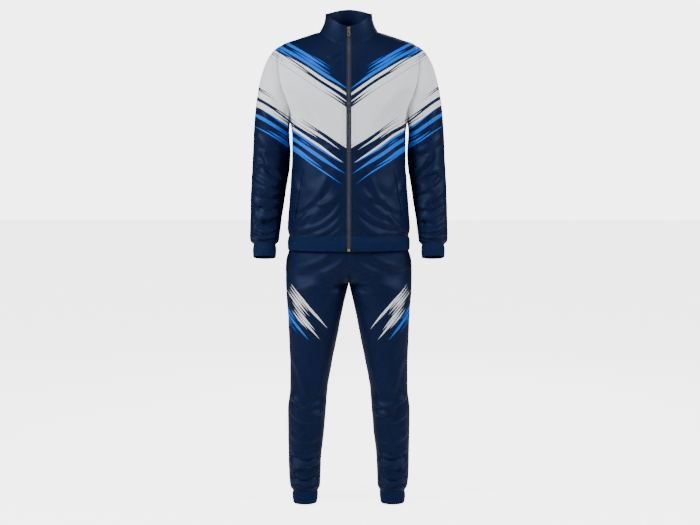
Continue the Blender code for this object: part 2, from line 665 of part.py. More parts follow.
def lay_out(panels):
    """Fold the cloth, give it its wall, and part the pieces at their seams."""
    shared_normals(panels)
    for panel in panels:
        panel.outer = panel.base + panel.normals * fold_heights(panel.base, panel.normals)[..., None]
    shared_normals(panels)
    for panel in panels:
        inner = panel.outer - panel.normals * (panel.wall * panel.mitres)[..., None]
        pull = panel.seam_pull()
        panel.outer = panel.outer + pull
        panel.inner = inner + pull


def material(name, finish):
    """A plain material with the piece's colour."""
    made = bpy.data.materials.new(name)
    made.use_nodes = True
    shader = made.node_tree.nodes["Principled BSDF"]
    shader.inputs["Base Color"].default_value = (*finish.colour, 1.0)
    shader.inputs["Roughness"].default_value = finish.roughness
    shader.inputs["Metallic"].default_value = finish.metallic
    return made


def add_object(name, mesh, finish):
    """Put a mesh into the scene as a named object with its own material."""
    mesh.materials.append(material(name, finish))
    piece = bpy.data.objects.new(name, mesh)
    bpy.context.scene.collection.objects.link(piece)
    return piece


def wall_object(name, outer, inner, closed, finish, is_smooth=True):
    """A closed wall between an outer and an inner grid."""
    rows, columns = outer.shape[:2]
    shape = bmesh.new()
    skins = [[[shape.verts.new(point * MM) for point in row] for row in grid] for grid in (outer, inner)]
    steps = columns if closed else columns - 1
    rims = []
    for r in range(rows - 1):
        for c in range(steps):
            n = (c + 1) % columns
            shape.faces.new([skins[0][r][c], skins[0][r][n], skins[0][r + 1][n], skins[0][r + 1][c]])
            shape.faces.new([skins[1][r][c], skins[1][r + 1][c], skins[1][r + 1][n], skins[1][r][n]])
    for r, is_top in ((0, True), (rows - 1, False)):
        for c in range(steps):
            n = (c + 1) % columns
            edge = [skins[0][r][c], skins[1][r][c], skins[1][r][n], skins[0][r][n]]
            rims.append(shape.faces.new(edge if is_top else edge[::-1]))
    if not closed:
        for c, is_start in ((0, True), (columns - 1, False)):
            for r in range(rows - 1):
                edge = [skins[0][r][c], skins[0][r + 1][c], skins[1][r + 1][c], skins[1][r][c]]
                rims.append(shape.faces.new(edge if is_start else edge[::-1]))
    bmesh.ops.recalc_face_normals(shape, faces=shape.faces)
    # The rims of two pieces at a seam are split along the same diagonals, so that they keep their gap
    bmesh.ops.triangulate(shape, faces=rims, quad_method="SHORT_EDGE")
    bmesh.ops.triangulate(shape, faces=shape.faces, quad_method="FIXED")
    mesh = bpy.data.meshes.new(name)
    shape.to_mesh(mesh)
    shape.free()
    if is_smooth:
        mesh.shade_smooth()
        mesh.set_sharp_from_angle(angle=math.radians(40))
    return add_object(name, mesh, finish)


def jacket_panels():
    """The jacket's cloth, each side's pieces and those across the middle."""
    front, back, yoke, sleeve = front_grid(), back_grid(), yoke_grid(), sleeve_grid()
    front_bottom_row = open_loop(front, None, back, -1)
    neckline = open_loop(front, yoke, back, 0)
    cuff = cuff_grid(sleeve[-1])
    panels = [
        Panel("jacket_back", back, (0, 0, -300), seams=EVERY_EDGE),
        Panel("collar", collar_grid(neckline), (0, 0, 0), wall=RIB_WALL, seams="bottom"),
        Panel("hem_band", band_grid(front_bottom_row), (0, 0, -650), False, RIB_WALL, "top", NAVY_RIB),
    ]
    for side, place in (("left", lambda points: points), ("right", mirrored)):
        panels += [
            Panel("front_" + side, place(front), place(np.array((60.0, 0, -300))), seams="top end bottom"),
            Panel("yoke_" + side, place(yoke), place(np.array((130.0, 0, -300))), seams=EVERY_EDGE),
            Panel("sleeve_" + side, place(sleeve), (0, 0, 0), closed=True, seams="top bottom"),
            Panel("cuff_" + side, place(cuff), (0, 0, 0), True, RIB_WALL, "top", NAVY_RIB),
        ]
    return panels


def trouser_panels():
    """The trousers' cloth."""
    front, back, ankle = leg_grid(True), leg_grid(False), ankle_grid()
    panels = [Panel("waistband", waistband_grid(), (0, 0, 0), True, RIB_WALL, "bottom", NAVY_RIB)]
    for side, place in (("left", lambda points: points), ("right", mirrored)):
        inside = place(np.array((110.0, 0, -1000)))
        panels += [
            Panel("leg_front_" + side, place(front), inside, seams=EVERY_EDGE),
            Panel("leg_back_" + side, place(back), inside, seams=EVERY_EDGE),
            Panel("ankle_cuff_" + side, place(ankle), (0, 0, 0), True, RIB_WALL, "top", NAVY_RIB),
        ]
    return panels


def welt(panel, side):
    """A pocket welt that lies on a front, made from the front's own cells."""
    sign = 1 if side == "left" else -1
    start, end = np.array(WELT_TOP), np.array(WELT_BOTTOM)
    run = (end - start) / np.linalg.norm(end - start)
    aside = np.array([-run[1], run[0]])
    rows, lifted = [], []
    for down in np.linspace(0, 1, WELT_STEPS + 1):
        row, high = [], []
        for over in np.linspace(-0.5, 0.5, WELT_COLUMNS + 1):
            place = blend(start, end, down) + aside * over * WELT_WIDTH
            point, normal = on_panel(panel, sign * place[0], place[1])
            row.append(point + normal * WELT_LIFT)
            high.append(point + normal * (WELT_LIFT + WELT_THICK))
        rows.append(row)
        lifted.append(high)
    return wall_object("pocket_welt_" + side, np.array(lifted), np.array(rows), False, NAVY)


def on_panel(panel, x, z):
    """Point and normal of a front at x and z, on its flat triangles."""
    a, b, c, d = (part.reshape(-1, 3) for part in panel.corners(panel.outer))
    best = None
    for first, second, third in ((a, b, c), (a, c, d)):
        base = first[:, (0, 2)]
        u, v = second[:, (0, 2)] - base, third[:, (0, 2)] - base
        to = np.array([x, z]) - base
        area = u[:, 0] * v[:, 1] - u[:, 1] * v[:, 0]
        s = (to[:, 0] * v[:, 1] - to[:, 1] * v[:, 0]) / area
        t = (u[:, 0] * to[:, 1] - u[:, 1] * to[:, 0]) / area
        outside = np.maximum(np.maximum(-s, -t), s + t - 1)
        index = int(np.argmin(outside))
        if best is None or outside[index] < best[0]:
            one, other = second[index] - first[index], third[index] - first[index]
            point = first[index] + s[index] * one + t[index] * other
            normal = np.cross(one, other)
            normal *= -np.sign(normal[1]) / np.linalg.norm(normal)
            best = (outside[index], point, normal)
    return best[1], best[2]


def zip_rows(panels):
    """Points down the +X zip edge: on the cloth's inner face, a little further in, and the edge's normal."""
    edge, beside, normals = [], [], []
    for name in ("collar", "front_left", "hem_band"):
        panel = panels[name]
        edge.append(panel.inner[:, 0])
        beside.append(panel.inner[:, 1])
        normals.append(panel.normals[:, 0])
    edge, beside, normals = (np.concatenate(part) for part in (edge, beside, normals))
    flat = normals * np.array([0.0, 1.0, 1.0])
    flat /= np.linalg.norm(flat, axis=1, keepdims=True)
    thinner = (COLLAR_ROWS + 1, len(edge) - BAND_ROWS - 2)
    keep = np.array([number not in thinner for number in range(len(edge))])
    return edge[keep], beside[keep], flat[keep]


def strip(name, front, behind, finish):
    """A thin strip between its front and its back points."""
    return wall_object(name, front, behind, False, finish, is_smooth=False)


def zip_tapes(rows):
    """Both tapes, which lie behind the fronts' edges."""
    edge, beside, flat = rows
    reach = (TAPE_REACH - ZIP_HALF_OPENING) / (beside[:, :1] - edge[:, :1])
    far = blend(edge, beside, reach)
    near = edge * np.array([0.0, 1.0, 1.0]) + np.array([CHAIN_WIDTH / 2 + SEAM_GAP, 0.0, 0.0])
    front = np.stack([near, edge, far], axis=1) - flat[:, None] * ZIP_SLACK
    front[-1] = blend(front[-1], front[-2], ZIP_END)
    behind = front - flat[:, None] * TAPE_THICK
    strip("zip_tape_left", front, behind, TAPE)
    strip("zip_tape_right", mirrored(front)[:, ::-1], mirrored(behind)[:, ::-1], TAPE)


def zip_chain(rows, slider_end):
    """The closed row of teeth, one strip from below the slider's post to the box. Returns its lower end."""
    edge, _, flat = rows
    middle = edge * np.array([0.0, 1.0, 1.0]) - flat * (ZIP_SLACK + TAPE_THICK / 2)
    middle = middle[middle[:, 2] < slider_end[2] - CHAIN_FIRST_STEP]
    flat = flat[-len(middle):]
    middle = np.concatenate([slider_end[None], middle])
    flat = np.concatenate([flat[:1], flat])
    middle[-1] = blend(middle[-1], middle[-2], ZIP_END)
    half = np.array([CHAIN_WIDTH / 2, 0.0, 0.0])
    front = np.stack([middle - half, middle + half], axis=1) + flat[:, None] * CHAIN_THICK / 2
    strip("zip_chain", front, front - flat[:, None] * CHAIN_THICK, COIL)
    return middle[-1]


def prism(outline, low, high):
    """A mesh with an outline in X and Z, between two depths in Y, in millimetres."""
    shape = bmesh.new()
    ends = [[shape.verts.new((x * MM, y * MM, z * MM)) for x, z in outline] for y in (low, high)]
    shape.faces.new(ends[0])
    shape.faces.new(ends[1][::-1])
    for i in range(len(outline)):
        n = (i + 1) % len(outline)
        shape.faces.new([ends[0][n], ends[0][i], ends[1][i], ends[1][n]])
    bmesh.ops.recalc_face_normals(shape, faces=shape.faces)
    mesh = bpy.data.meshes.new("prism")
    shape.to_mesh(mesh)
    shape.free()
    return mesh


def rectangle(half_width, top, bottom):
    """Corners of a rectangle in X and Z."""
    return [(-half_width, top), (half_width, top), (half_width, bottom), (-half_width, bottom)]


def combined(name, first, others, finish):
    """One solid from a prism and others that join it or are cut from it."""
    piece = add_object(name, first, finish)
    helpers = []
    for number, (operation, mesh) in enumerate(others):
        helper = bpy.data.objects.new(f"{name}_{operation.lower()}_{number}", mesh)
        bpy.context.scene.collection.objects.link(helper)
        modifier = piece.modifiers.new(operation.title(), "BOOLEAN")
        modifier.operation = operation
        modifier.object = helper
        helpers.append(helper)
    result = bpy.data.meshes.new_from_object(piece.evaluated_get(bpy.context.evaluated_depsgraph_get()))
    piece.modifiers.clear()
    piece.data = result
    for helper in helpers:
        bpy.data.objects.remove(helper)
    return piece


def seat(piece, place, tilt):
    """Stand a piece at a place on the collar's slope."""
    piece.location = place * MM
    piece.rotation_euler = (tilt, 0.0, 0.0)


def slider_body():
    """The slider: two plates round the chain, their post, and the bail, with the outside towards -Y."""
    gap = CHAIN_THICK / 2 + ZIP_SLACK
    half = PLATE_LENGTH / 2
    outline = [
        (-PLATE_HALF_WIDTH, half - 2.5), (-POST_HALF_WIDTH - 0.6, half), (POST_HALF_WIDTH + 0.6, half),
        (PLATE_HALF_WIDTH, half - 2.5), (PLATE_HALF_WIDTH - 0.7, -half), (-PLATE_HALF_WIDTH + 0.7, -half),
    ]
    face = -gap - PLATE_THICK
    arch = rectangle(BAIL_HALF_WIDTH, BAIL_HALF_LENGTH, -BAIL_HALF_LENGTH)
    hole = rectangle(BAIL_HALF_WIDTH + 1.0, BAIL_HALF_LENGTH - BAIL_BAND, BAIL_BAND - BAIL_HALF_LENGTH)
    post = rectangle(POST_HALF_WIDTH, half - 0.4, half - POST_LENGTH)
    parts = [
        ("UNION", prism(outline, gap, gap + PLATE_THICK)),
        ("UNION", prism(post, face + 0.5, gap + PLATE_THICK - 0.5)),
        ("UNION", prism(arch, face - BAIL_REACH, face + 0.5)),
        ("DIFFERENCE", prism(hole, face - BAIL_REACH + BAIL_BAND, face)),
    ]
    return combined("zip_slider", prism(outline, face, -gap), parts, NICKEL)


def pull_tab():
    """The pull tab, with its origin on the hinge bar and its length along -Z."""
    half = TAB_THICK / 2
    top, bottom = TAB_BAR / 2, TAB_BAR / 2 - TAB_LENGTH
    waist = -TAB_BAR / 2 - WINDOW_LENGTH
    outline = [
        (-TAB_NECK_HALF_WIDTH, top), (TAB_NECK_HALF_WIDTH, top), (TAB_NECK_HALF_WIDTH, waist),
        (TAB_HALF_WIDTH, waist - 4.0), (TAB_HALF_WIDTH, bottom + 2.5), (TAB_HALF_WIDTH - 2.0, bottom),
        (2.0 - TAB_HALF_WIDTH, bottom), (-TAB_HALF_WIDTH, bottom + 2.5), (-TAB_HALF_WIDTH, waist - 4.0),
        (-TAB_NECK_HALF_WIDTH, waist),
    ]
    window = rectangle(WINDOW_HALF_WIDTH, -TAB_BAR / 2, waist)
    low = bottom + 5.0
    slot = rectangle(SLOT_HALF_WIDTH, low + SLOT_LENGTH, low)
    cuts = [("DIFFERENCE", prism(hole, -half - 1.0, half + 1.0)) for hole in (window, slot)]
    return combined("zip_pull_tab", prism(outline, -half, half), cuts, NICKEL)


def zip_hardware(rows):
    """Slider, pull tab, chain and box."""
    edge, _, _ = rows
    top, below = edge[0] * np.array([0, 1, 1]), edge[COLLAR_ROWS - 1] * np.array([0, 1, 1])
    slope = (below - top) / np.linalg.norm(below - top)
    tilt = math.atan2(-slope[1], -slope[2])
    out = np.array([0.0, slope[2], -slope[1]])
    out *= -1 if out[1] > 0 else 1
    middle = top + slope * SLIDER_DROP - out * (ZIP_SLACK + TAPE_THICK / 2)
    seat(slider_body(), middle, -tilt)
    hinge = middle + out * (CHAIN_THICK / 2 + ZIP_SLACK + PLATE_THICK + HINGE_REACH)
    seat(pull_tab(), hinge, -tilt)
    chain_top = middle - slope * (PLATE_LENGTH / 2 - POST_LENGTH - SEAM_GAP)
    end = zip_chain(rows, chain_top)
    half = CHAIN_THICK / 2 + BOX_OVER_CHAIN
    box = prism(rectangle(BOX_HALF_WIDTH, -SEAM_GAP, -SEAM_GAP - BOX_HEIGHT), -half, half)
    add_object("zip_box", box, BRASS).location = end * MM


def main():
    for old in list(bpy.data.objects):
        bpy.data.objects.remove(old)
    panels = jacket_panels() + trouser_panels()
    lay_out(panels)
    for panel in panels:
        wall_object(panel.name, panel.outer, panel.inner, panel.closed, panel.finish)
    named = {panel.name: panel for panel in panels}
    for side in ("left", "right"):
        welt(named["front_" + side], side)
    rows = zip_rows(named)
    zip_tapes(rows)
    zip_hardware(rows)


main()
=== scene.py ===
"""The looks of the tracksuit: folded cloth shells, rib bands, stitching, zip and the studio around them.

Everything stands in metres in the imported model's frame: X to the viewer's right, the front towards -Y, Z up and
the origin midway between the points where the shoulders meet the neck. The tables of sizes are in millimetres.
"""

import logging
import math
from dataclasses import dataclass, field
from enum import Enum
from functools import lru_cache
from typing import NamedTuple

import bmesh
import bpy
import numpy as np
from mathutils import Matrix, Vector, noise


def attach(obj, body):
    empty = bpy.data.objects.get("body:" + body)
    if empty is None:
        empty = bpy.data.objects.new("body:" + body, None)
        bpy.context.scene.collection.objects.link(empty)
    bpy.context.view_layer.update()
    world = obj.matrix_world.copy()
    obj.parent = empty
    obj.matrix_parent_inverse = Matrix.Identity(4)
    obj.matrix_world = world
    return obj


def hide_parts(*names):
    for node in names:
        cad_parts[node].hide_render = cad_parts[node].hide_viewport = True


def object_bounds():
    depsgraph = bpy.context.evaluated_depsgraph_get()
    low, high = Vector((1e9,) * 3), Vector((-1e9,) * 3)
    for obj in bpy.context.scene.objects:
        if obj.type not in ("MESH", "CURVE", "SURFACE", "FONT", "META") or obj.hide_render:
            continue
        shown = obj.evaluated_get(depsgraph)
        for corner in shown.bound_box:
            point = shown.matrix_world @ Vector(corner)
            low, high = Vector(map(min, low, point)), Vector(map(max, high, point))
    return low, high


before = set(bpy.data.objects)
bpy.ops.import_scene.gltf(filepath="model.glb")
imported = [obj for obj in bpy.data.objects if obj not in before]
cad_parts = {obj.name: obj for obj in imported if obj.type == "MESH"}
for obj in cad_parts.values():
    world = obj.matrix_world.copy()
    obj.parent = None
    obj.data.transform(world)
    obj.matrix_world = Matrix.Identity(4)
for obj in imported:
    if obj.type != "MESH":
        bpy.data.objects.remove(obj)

MM = 0.001
# Steps of a cloth's grid for each step of the CAD model's own grid.
FINE = 6
CLOTH_THICK = 1.1
RIB_THICK = 1.8
# Small enough that no light shows through a seam.
SEAM_GAP = 0.02
TINY = 1e-12
CAD_BOUNDS = [list(corner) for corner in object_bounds()]

log = logging.getLogger("tracksuit")


class Body(Enum):
    """The rigid bodies that pieces ride on."""

    SUIT = "suit"
    PULL = "pull"


class Side(Enum):
    """The wearer's sides, by the sign of X."""

    LEFT = 1.0
    RIGHT = -1.0

    def of(self, piece: str) -> str:
        """A piece's name with its side."""
        return f"{piece}_{self.name.lower()}"

    def place(self, points: np.ndarray | tuple) -> np.ndarray:
        """Points of the left side, moved to this side."""
        return np.asarray(points, float) * np.array([self.value, 1.0, 1.0])


class Face(Enum):
    """Which way a fold's cloth faces."""

    FRONT = "front"
    BACK = "back"


class Edge(Enum):
    """The four edges of a piece of cloth on its grid of rows and columns."""

    TOP = "top"
    BOTTOM = "bottom"
    START = "start"
    END = "end"


class Ring(NamedTuple):
    """A saddle-shaped ring round the torso, in millimetres."""

    half_width: float
    front: float
    back: float
    side_y: float
    z_side: float
    z_front: float
    z_back: float
    square: float


class Armhole(NamedTuple):
    """A point of the armhole in a side view, at a share of the way from the shoulder to the underarm."""

    around: float
    front_y: float
    back_y: float
    z: float


class Seam(NamedTuple):
    """A point of the yoke seams, as angles in degrees from the centre front."""

    along: float
    front_angle: float
    back_angle: float


class Arm(NamedTuple):
    """A ring of the sleeve, in millimetres, with its forward tilt in degrees."""

    z: float
    outer: float
    inner: float
    mid_y: float
    half_depth: float
    tilt: float


class Leg(NamedTuple):
    """A row of a trouser leg: its outseam, its rise or inseam, and how far it swells, in millimetres."""

    row: float
    z_out: float
    x_out: float
    y_out: float
    z_in: float
    x_in: float
    in_front: float
    in_back: float
    lean: float
    swell_front: float
    swell_back: float


class Fold(NamedTuple):
    """A ridge, or a trough where the height is negative, along a line or an arc seen from the front.

    The bow is how far the arc's middle lies to the left of its way, in millimetres. The lean is how deep a
    hollow follows the ridge on its right, as a share of the height.
    """

    face: Face
    x0: float
    z0: float
    x1: float
    z1: float
    width: float
    height: float
    bow: float = 0.0
    lean: float = 0.0


def folds_on(face: Face, *rows: tuple) -> tuple[Fold, ...]:
    """Folds on one face of the suit.

    Args:
        face: the face that they show on.
        rows: each fold's numbers, in the order of Fold's fields.

    Returns:
        The folds.
    """
    return tuple(Fold(face, *map(float, row)) for row in rows)


def smooth_curve(knots: list | range, values: list, at: np.ndarray | float) -> np.ndarray:
    """Cubic curve through the values, which never overshoots them.

    Args:
        knots: increasing places of the values.
        values: one value for each knot.
        at: the places to read.

    Returns:
        The curve's values at those places.
    """
    knots = np.asarray(knots, float)
    values = np.asarray(values, float)
    at = np.clip(np.asarray(at, float), knots[0], knots[-1])
    steps = np.diff(knots)
    slopes = np.diff(values) / steps
    tangents = np.zeros_like(values)
    tangents[0], tangents[-1] = slopes[0], slopes[-1]
    same_way = slopes[:-1] * slopes[1:] > 0
    before, after = slopes[:-1][same_way], slopes[1:][same_way]
    tangents[1:-1][same_way] = 2 * before * after / (before + after)
    place = np.clip(np.searchsorted(knots, at, side="right") - 1, 0, len(steps) - 1)
    step = steps[place]
    t = (at - knots[place]) / step
    return (
        (1 + 2 * t) * (1 - t) ** 2 * values[place]
        + t * (1 - t) ** 2 * step * tangents[place]
        + t * t * (3 - 2 * t) * values[place + 1]
        + t * t * (t - 1) * step * tangents[place + 1]
    )


def read_rows(rows: tuple, at: np.ndarray | float, knots: list | None = None) -> dict[str, np.ndarray]:
    """Every named column of a table at places along it.

    Args:
        rows: the table's rows.
        at: the places to read, in row numbers unless knots are given.
        knots: the rows' own places.

    Returns:
        The columns' values by name.
    """
    knots = range(len(rows)) if knots is None else knots
    return {
        name: smooth_curve(knots, [getattr(row, name) for row in rows], at)
        for name in rows[0]._fields
    }


def blend(first: np.ndarray | float, last: np.ndarray | float, share: np.ndarray | float) -> np.ndarray | float:
    """Value a share of the way from the first to the last."""
    return first + (last - first) * share


def mirrored(points: np.ndarray) -> np.ndarray:
    """The same points on the other side of the middle."""
    return points * np.array([-1.0, 1.0, 1.0])


def ring_points(size: dict, angle: np.ndarray) -> np.ndarray:
    """Points on a ring.

    Args:
        size: the ring's sizes by name, as numbers or arrays.
        angle: angles in radians from the centre front, towards +X.

    Returns:
        The points, in millimetres.
    """
    across, along = np.sin(angle), np.cos(angle)
    square = size["square"]
    radius = (np.abs(across) ** square + np.abs(along) ** square) ** (-1 / square)
    is_front = along >= 0
    depth = np.where(is_front, size["side_y"] - size["front"], size["back"] - size["side_y"])
    z_end = np.where(is_front, size["z_front"], size["z_back"])
    x = size["half_width"] * radius * across
    y = size["side_y"] - depth * radius * along
    z = size["z_side"] + (z_end - size["z_side"]) * along**2
    return np.stack([x, y, z], axis=-1)


def angles_round(points: np.ndarray, ring: Ring) -> np.ndarray:
    """Angle of each point round a ring, found from its place in plan."""
    depth = np.where(points[:, 1] < ring.side_y, ring.side_y - ring.front, ring.back - ring.side_y)
    return np.arctan2(points[:, 0] / ring.half_width, (ring.side_y - points[:, 1]) / depth)


@dataclass(frozen=True)
class JacketForm:
    """The surface of the jacket, with the counts of its grids' rows and columns."""

    torso: tuple = (
        Ring(90.0, -100.0, 66.0, -12.0, -8.0, -60.5, 2.0, 2.05),
        Ring(125.0, -112.0, 89.0, -6.0, -18.5, -86.0, -16.0, 2.10),
        Ring(165.0, -120.5, 107.0, 0.0, -31.0, -113.0, -42.0, 2.15),
        Ring(205.0, -127.0, 122.0, 2.0, -46.0, -142.0, -76.0, 2.25),
        Ring(227.0, -131.0, 133.0, 2.0, -92.0, -174.0, -120.0, 2.45),
        Ring(230.0, -133.5, 139.0, 2.0, -142.0, -208.0, -168.0, 2.60),
        Ring(213.0, -135.0, 141.0, 2.0, -200.0, -242.0, -218.0, 2.55),
        Ring(185.0, -135.5, 140.0, 1.0, -264.0, -280.0, -272.0, 2.45),
        Ring(174.5, -135.0, 137.0, 0.0, -325.0, -330.0, -328.0, 2.40),
        Ring(175.0, -133.5, 131.0, 0.0, -400.0, -400.0, -400.0, 2.40),
        Ring(179.5, -132.0, 127.0, 0.0, -470.0, -470.0, -470.0, 2.40),
        Ring(183.5, -131.0, 128.0, 0.0, -522.0, -522.0, -522.0, 2.40),
        Ring(187.5, -130.5, 131.0, 0.0, -575.0, -575.0, -575.0, 2.40),
        Ring(189.3, -130.5, 133.0, 0.0, -607.0, -607.0, -607.0, 2.40),
        Ring(185.6, -127.0, 130.0, 0.0, -629.0, -629.0, -629.0, 2.40),
    )
    band: tuple = (
        Ring(189.6, -130.5, 133.5, 0.0, -650.0, -650.0, -650.0, 2.40),
        Ring(188.8, -130.0, 132.5, 0.0, -673.0, -673.0, -673.0, 2.40),
    )
    rim: Ring = Ring(72.0, -80.0, 50.0, -14.0, 48.0, 2.4, 69.0, 2.0)
    collar_flare: float = 2.3
    armhole: tuple = (
        Armhole(0.0, 2.0, 2.0, -46.0),
        Armhole(1 / 6, -38.0, 44.0, -68.0),
        Armhole(1 / 3, -65.0, 74.0, -124.0),
        Armhole(1 / 2, -79.0, 88.0, -176.0),
        Armhole(2 / 3, -76.0, 84.0, -224.0),
        Armhole(5 / 6, -48.0, 54.0, -264.0),
        Armhole(1.0, 2.0, 2.0, -283.0),
    )
    seams: tuple = (
        Seam(0.0, 66.0, 118.0),
        Seam(0.35, 57.0, 124.0),
        Seam(0.7, 57.5, 124.0),
        Seam(1.0, 0.0, 0.0),
    )
    sleeve: tuple = (
        Arm(-385.0, 296.5, 180.5, 4.0, 64.0, 0.0),
        Arm(-425.0, 298.8, 183.0, 2.0, 61.0, 2.0),
        Arm(-465.0, 300.8, 190.0, -3.0, 57.5, 5.0),
        Arm(-520.0, 302.6, 197.5, -13.0, 52.5, 8.0),
        Arm(-582.0, 303.2, 207.0, -27.0, 48.5, 10.0),
        Arm(-626.0, 303.4, 212.0, -37.0, 47.0, 12.0),
        Arm(-645.0, 301.6, 214.5, -41.0, 45.0, 12.0),
        Arm(-656.0, 292.6, 223.0, -44.0, 36.5, 12.0),
    )
    cuff: tuple = (Arm(-675.0, 294.2, 221.8, -48.0, 38.0, 12.0), Arm(-695.0, 292.8, 223.2, -52.0, 36.5, 12.0))
    cap_out: tuple = (26.0, 228.0)
    cap_down: float = 78.0
    cap_swell: float = 42.0
    cap_end_out: float = 8.0
    cap_end_down: tuple = (92.0, 262.0)
    zip_half_opening: float = 7.5
    front_columns: int = 8 * FINE
    back_half_columns: int = 7 * FINE
    yoke_half_columns: int = 3 * FINE
    yoke_rows: int = 4 * FINE
    armhole_steps: int = 6 * FINE
    side_rows: int = 12 * FINE
    collar_rows: int = 4 * FINE
    band_rows: int = 2 * FINE
    cap_rows: int = 9 * FINE
    arm_rows: int = 10 * FINE
    cuff_rows: int = 2 * FINE

    def torso_points(self, angle: np.ndarray | float, level: np.ndarray | float) -> np.ndarray:
        """Points of the torso at angles round it and at levels in ring numbers."""
        return ring_points(read_rows(self.torso, np.asarray(level, float)), np.asarray(angle, float))

    @lru_cache(maxsize=None)
    def armhole_places(self, is_front: bool) -> np.ndarray:
        """Angles and levels of one half of the armhole.

        Args:
            is_front: the front half, or else the back half.

        Returns:
            Angle and level of each point from the shoulder to the underarm.
        """
        around = np.linspace(0, 1, self.yoke_half_columns + self.armhole_steps + 1)
        side_view = read_rows(self.armhole, around, [row.around for row in self.armhole])
        y, z = side_view["front_y" if is_front else "back_y"], side_view["z"]
        angle = np.full(len(y), math.radians(70.0 if is_front else 110.0))
        level = np.interp(-z, [-row.z_side for row in self.torso], range(len(self.torso)))
        tiny = 1e-4
        for _ in range(40):
            here = self.torso_points(angle, level)
            turn = (self.torso_points(angle + tiny, level) - here) / tiny
            sink = (self.torso_points(angle, level + tiny) - here) / tiny
            off_y, off_z = y - here[:, 1], z - here[:, 2]
            scale = turn[:, 1] * sink[:, 2] - turn[:, 2] * sink[:, 1]
            angle = angle + np.clip((off_y * sink[:, 2] - off_z * sink[:, 1]) / scale, -0.2, 0.2)
            level = level + np.clip((off_z * turn[:, 1] - off_y * turn[:, 2]) / scale, -0.5, 0.5)
        return np.stack([angle, level], axis=1)

    def yoke_seam(self, is_front: bool) -> np.ndarray:
        """Follow a yoke seam from the neckline to the armhole.

        Args:
            is_front: the front seam, or else the back seam.

        Returns:
            Angle and level of each point.
        """
        end = self.armhole_places(is_front)[self.yoke_half_columns]
        along = np.linspace(0, 1, self.yoke_rows + 1)
        name = "front_angle" if is_front else "back_angle"
        angles = [math.radians(getattr(row, name)) for row in self.seams[:-1]] + [end[0]]
        angle = smooth_curve([row.along for row in self.seams], angles, along)
        return np.stack([angle, along * end[1]], axis=1)

    def outer_edge(self, is_front: bool) -> np.ndarray:
        """Follow a front's or back's outer edge: yoke seam, armhole and side seam.

        Args:
            is_front: the front's edge, or else the back's.

        Returns:
            Angle and level of each point, from the neckline down.
        """
        armhole = self.armhole_places(is_front)[self.yoke_half_columns:].copy()
        armhole[-1, 0] = math.pi / 2
        down = np.linspace(0, 1, self.side_rows + 1)[1:]
        levels = blend(armhole[-1, 1], len(self.torso) - 1.0, down)
        side = np.stack([np.full(self.side_rows, math.pi / 2), levels], axis=1)
        return np.concatenate([self.yoke_seam(is_front), armhole[1:], side])

    def centre_levels(self, name: str, count: int) -> np.ndarray:
        """Part the centre front or back into even steps.

        Args:
            name: the rings' height there, z_front or z_back.
            count: how many steps.

        Returns:
            The ring number at each end of a step.
        """
        fine = np.linspace(0, len(self.torso) - 1.0, 600)
        heights = smooth_curve(range(len(self.torso)), [getattr(row, name) for row in self.torso], fine)
        return np.interp(-np.linspace(heights[0], heights[-1], count + 1), -heights, fine)

    def front(self) -> np.ndarray:
        """Lay out the +X front, from the zip edge to the outer edge.

        Returns:
            Its grid of points.
        """
        outer = self.outer_edge(True)
        centre = self.centre_levels("z_front", len(outer) - 1)[:, None]
        share = np.linspace(0, 1, self.front_columns + 1)[None]
        width = smooth_curve(range(len(self.torso)), [row.half_width for row in self.torso], centre)
        start = np.arcsin(self.zip_half_opening / width)
        grid = self.torso_points(blend(start, outer[:, :1], share), blend(centre, outer[:, 1:], share**1.5))
        grid[:, 0, 0] = self.zip_half_opening
        return grid

    def back(self) -> np.ndarray:
        """Lay out the whole back, from its +X edge to its -X edge.

        Returns:
            Its grid of points.
        """
        outer = self.outer_edge(False)
        centre = self.centre_levels("z_back", len(outer) - 1)[:, None]
        share = np.linspace(0, 1, self.back_half_columns + 1)[None]
        level = blend(centre, outer[:, 1:], (1 - share) ** 2)
        half = self.torso_points(blend(outer[:, :1], math.pi, share), level)
        half[:, -1, 0] = 0.0
        return np.concatenate([half, mirrored(half[:, :-1][:, ::-1])], axis=1)

    def yoke(self) -> np.ndarray:
        """Lay out the +X yoke, from its front seam over the shoulder to its back seam.

        Returns:
            Its grid of points.
        """
        half = self.yoke_half_columns
        front, back = self.armhole_places(True), self.armhole_places(False)
        arm = np.concatenate([front[half:0:-1], [[math.pi / 2, front[0][1]]], back[1:half + 1]])
        start, end = self.yoke_seam(True)[:, None], self.yoke_seam(False)[:, None]
        share = np.linspace(0, 1, 2 * half + 1)[None, :, None]
        down = np.linspace(0, 1, self.yoke_rows + 1)[:, None, None]
        neck = blend(start[0], end[0], share[0])[None]
        ruled = blend(neck, arm[None], down)
        first, last = blend(neck[:, :1], arm[None, :1], down), blend(neck[:, -1:], arm[None, -1:], down)
        corners = blend(first, last, share)
        place = blend(start, end, share) + ruled - corners
        return self.torso_points(place[..., 0], place[..., 1])

    def arm_ring(self, rows: tuple, down: float, turn: np.ndarray) -> np.ndarray:
        """Place points round a sleeve.

        Args:
            rows: the sleeve's rings.
            down: the place among them, in row numbers.
            turn: angles in radians from the outer side, towards the front.

        Returns:
            The points.
        """
        size = read_rows(rows, down)
        x = (size["outer"] + size["inner"]) / 2 + (size["outer"] - size["inner"]) / 2 * np.cos(turn)
        y = size["mid_y"] - size["half_depth"] * np.sin(turn)
        return np.stack([x, y, size["z"] - (y - size["mid_y"]) * np.tan(np.radians(size["tilt"]))], axis=-1)

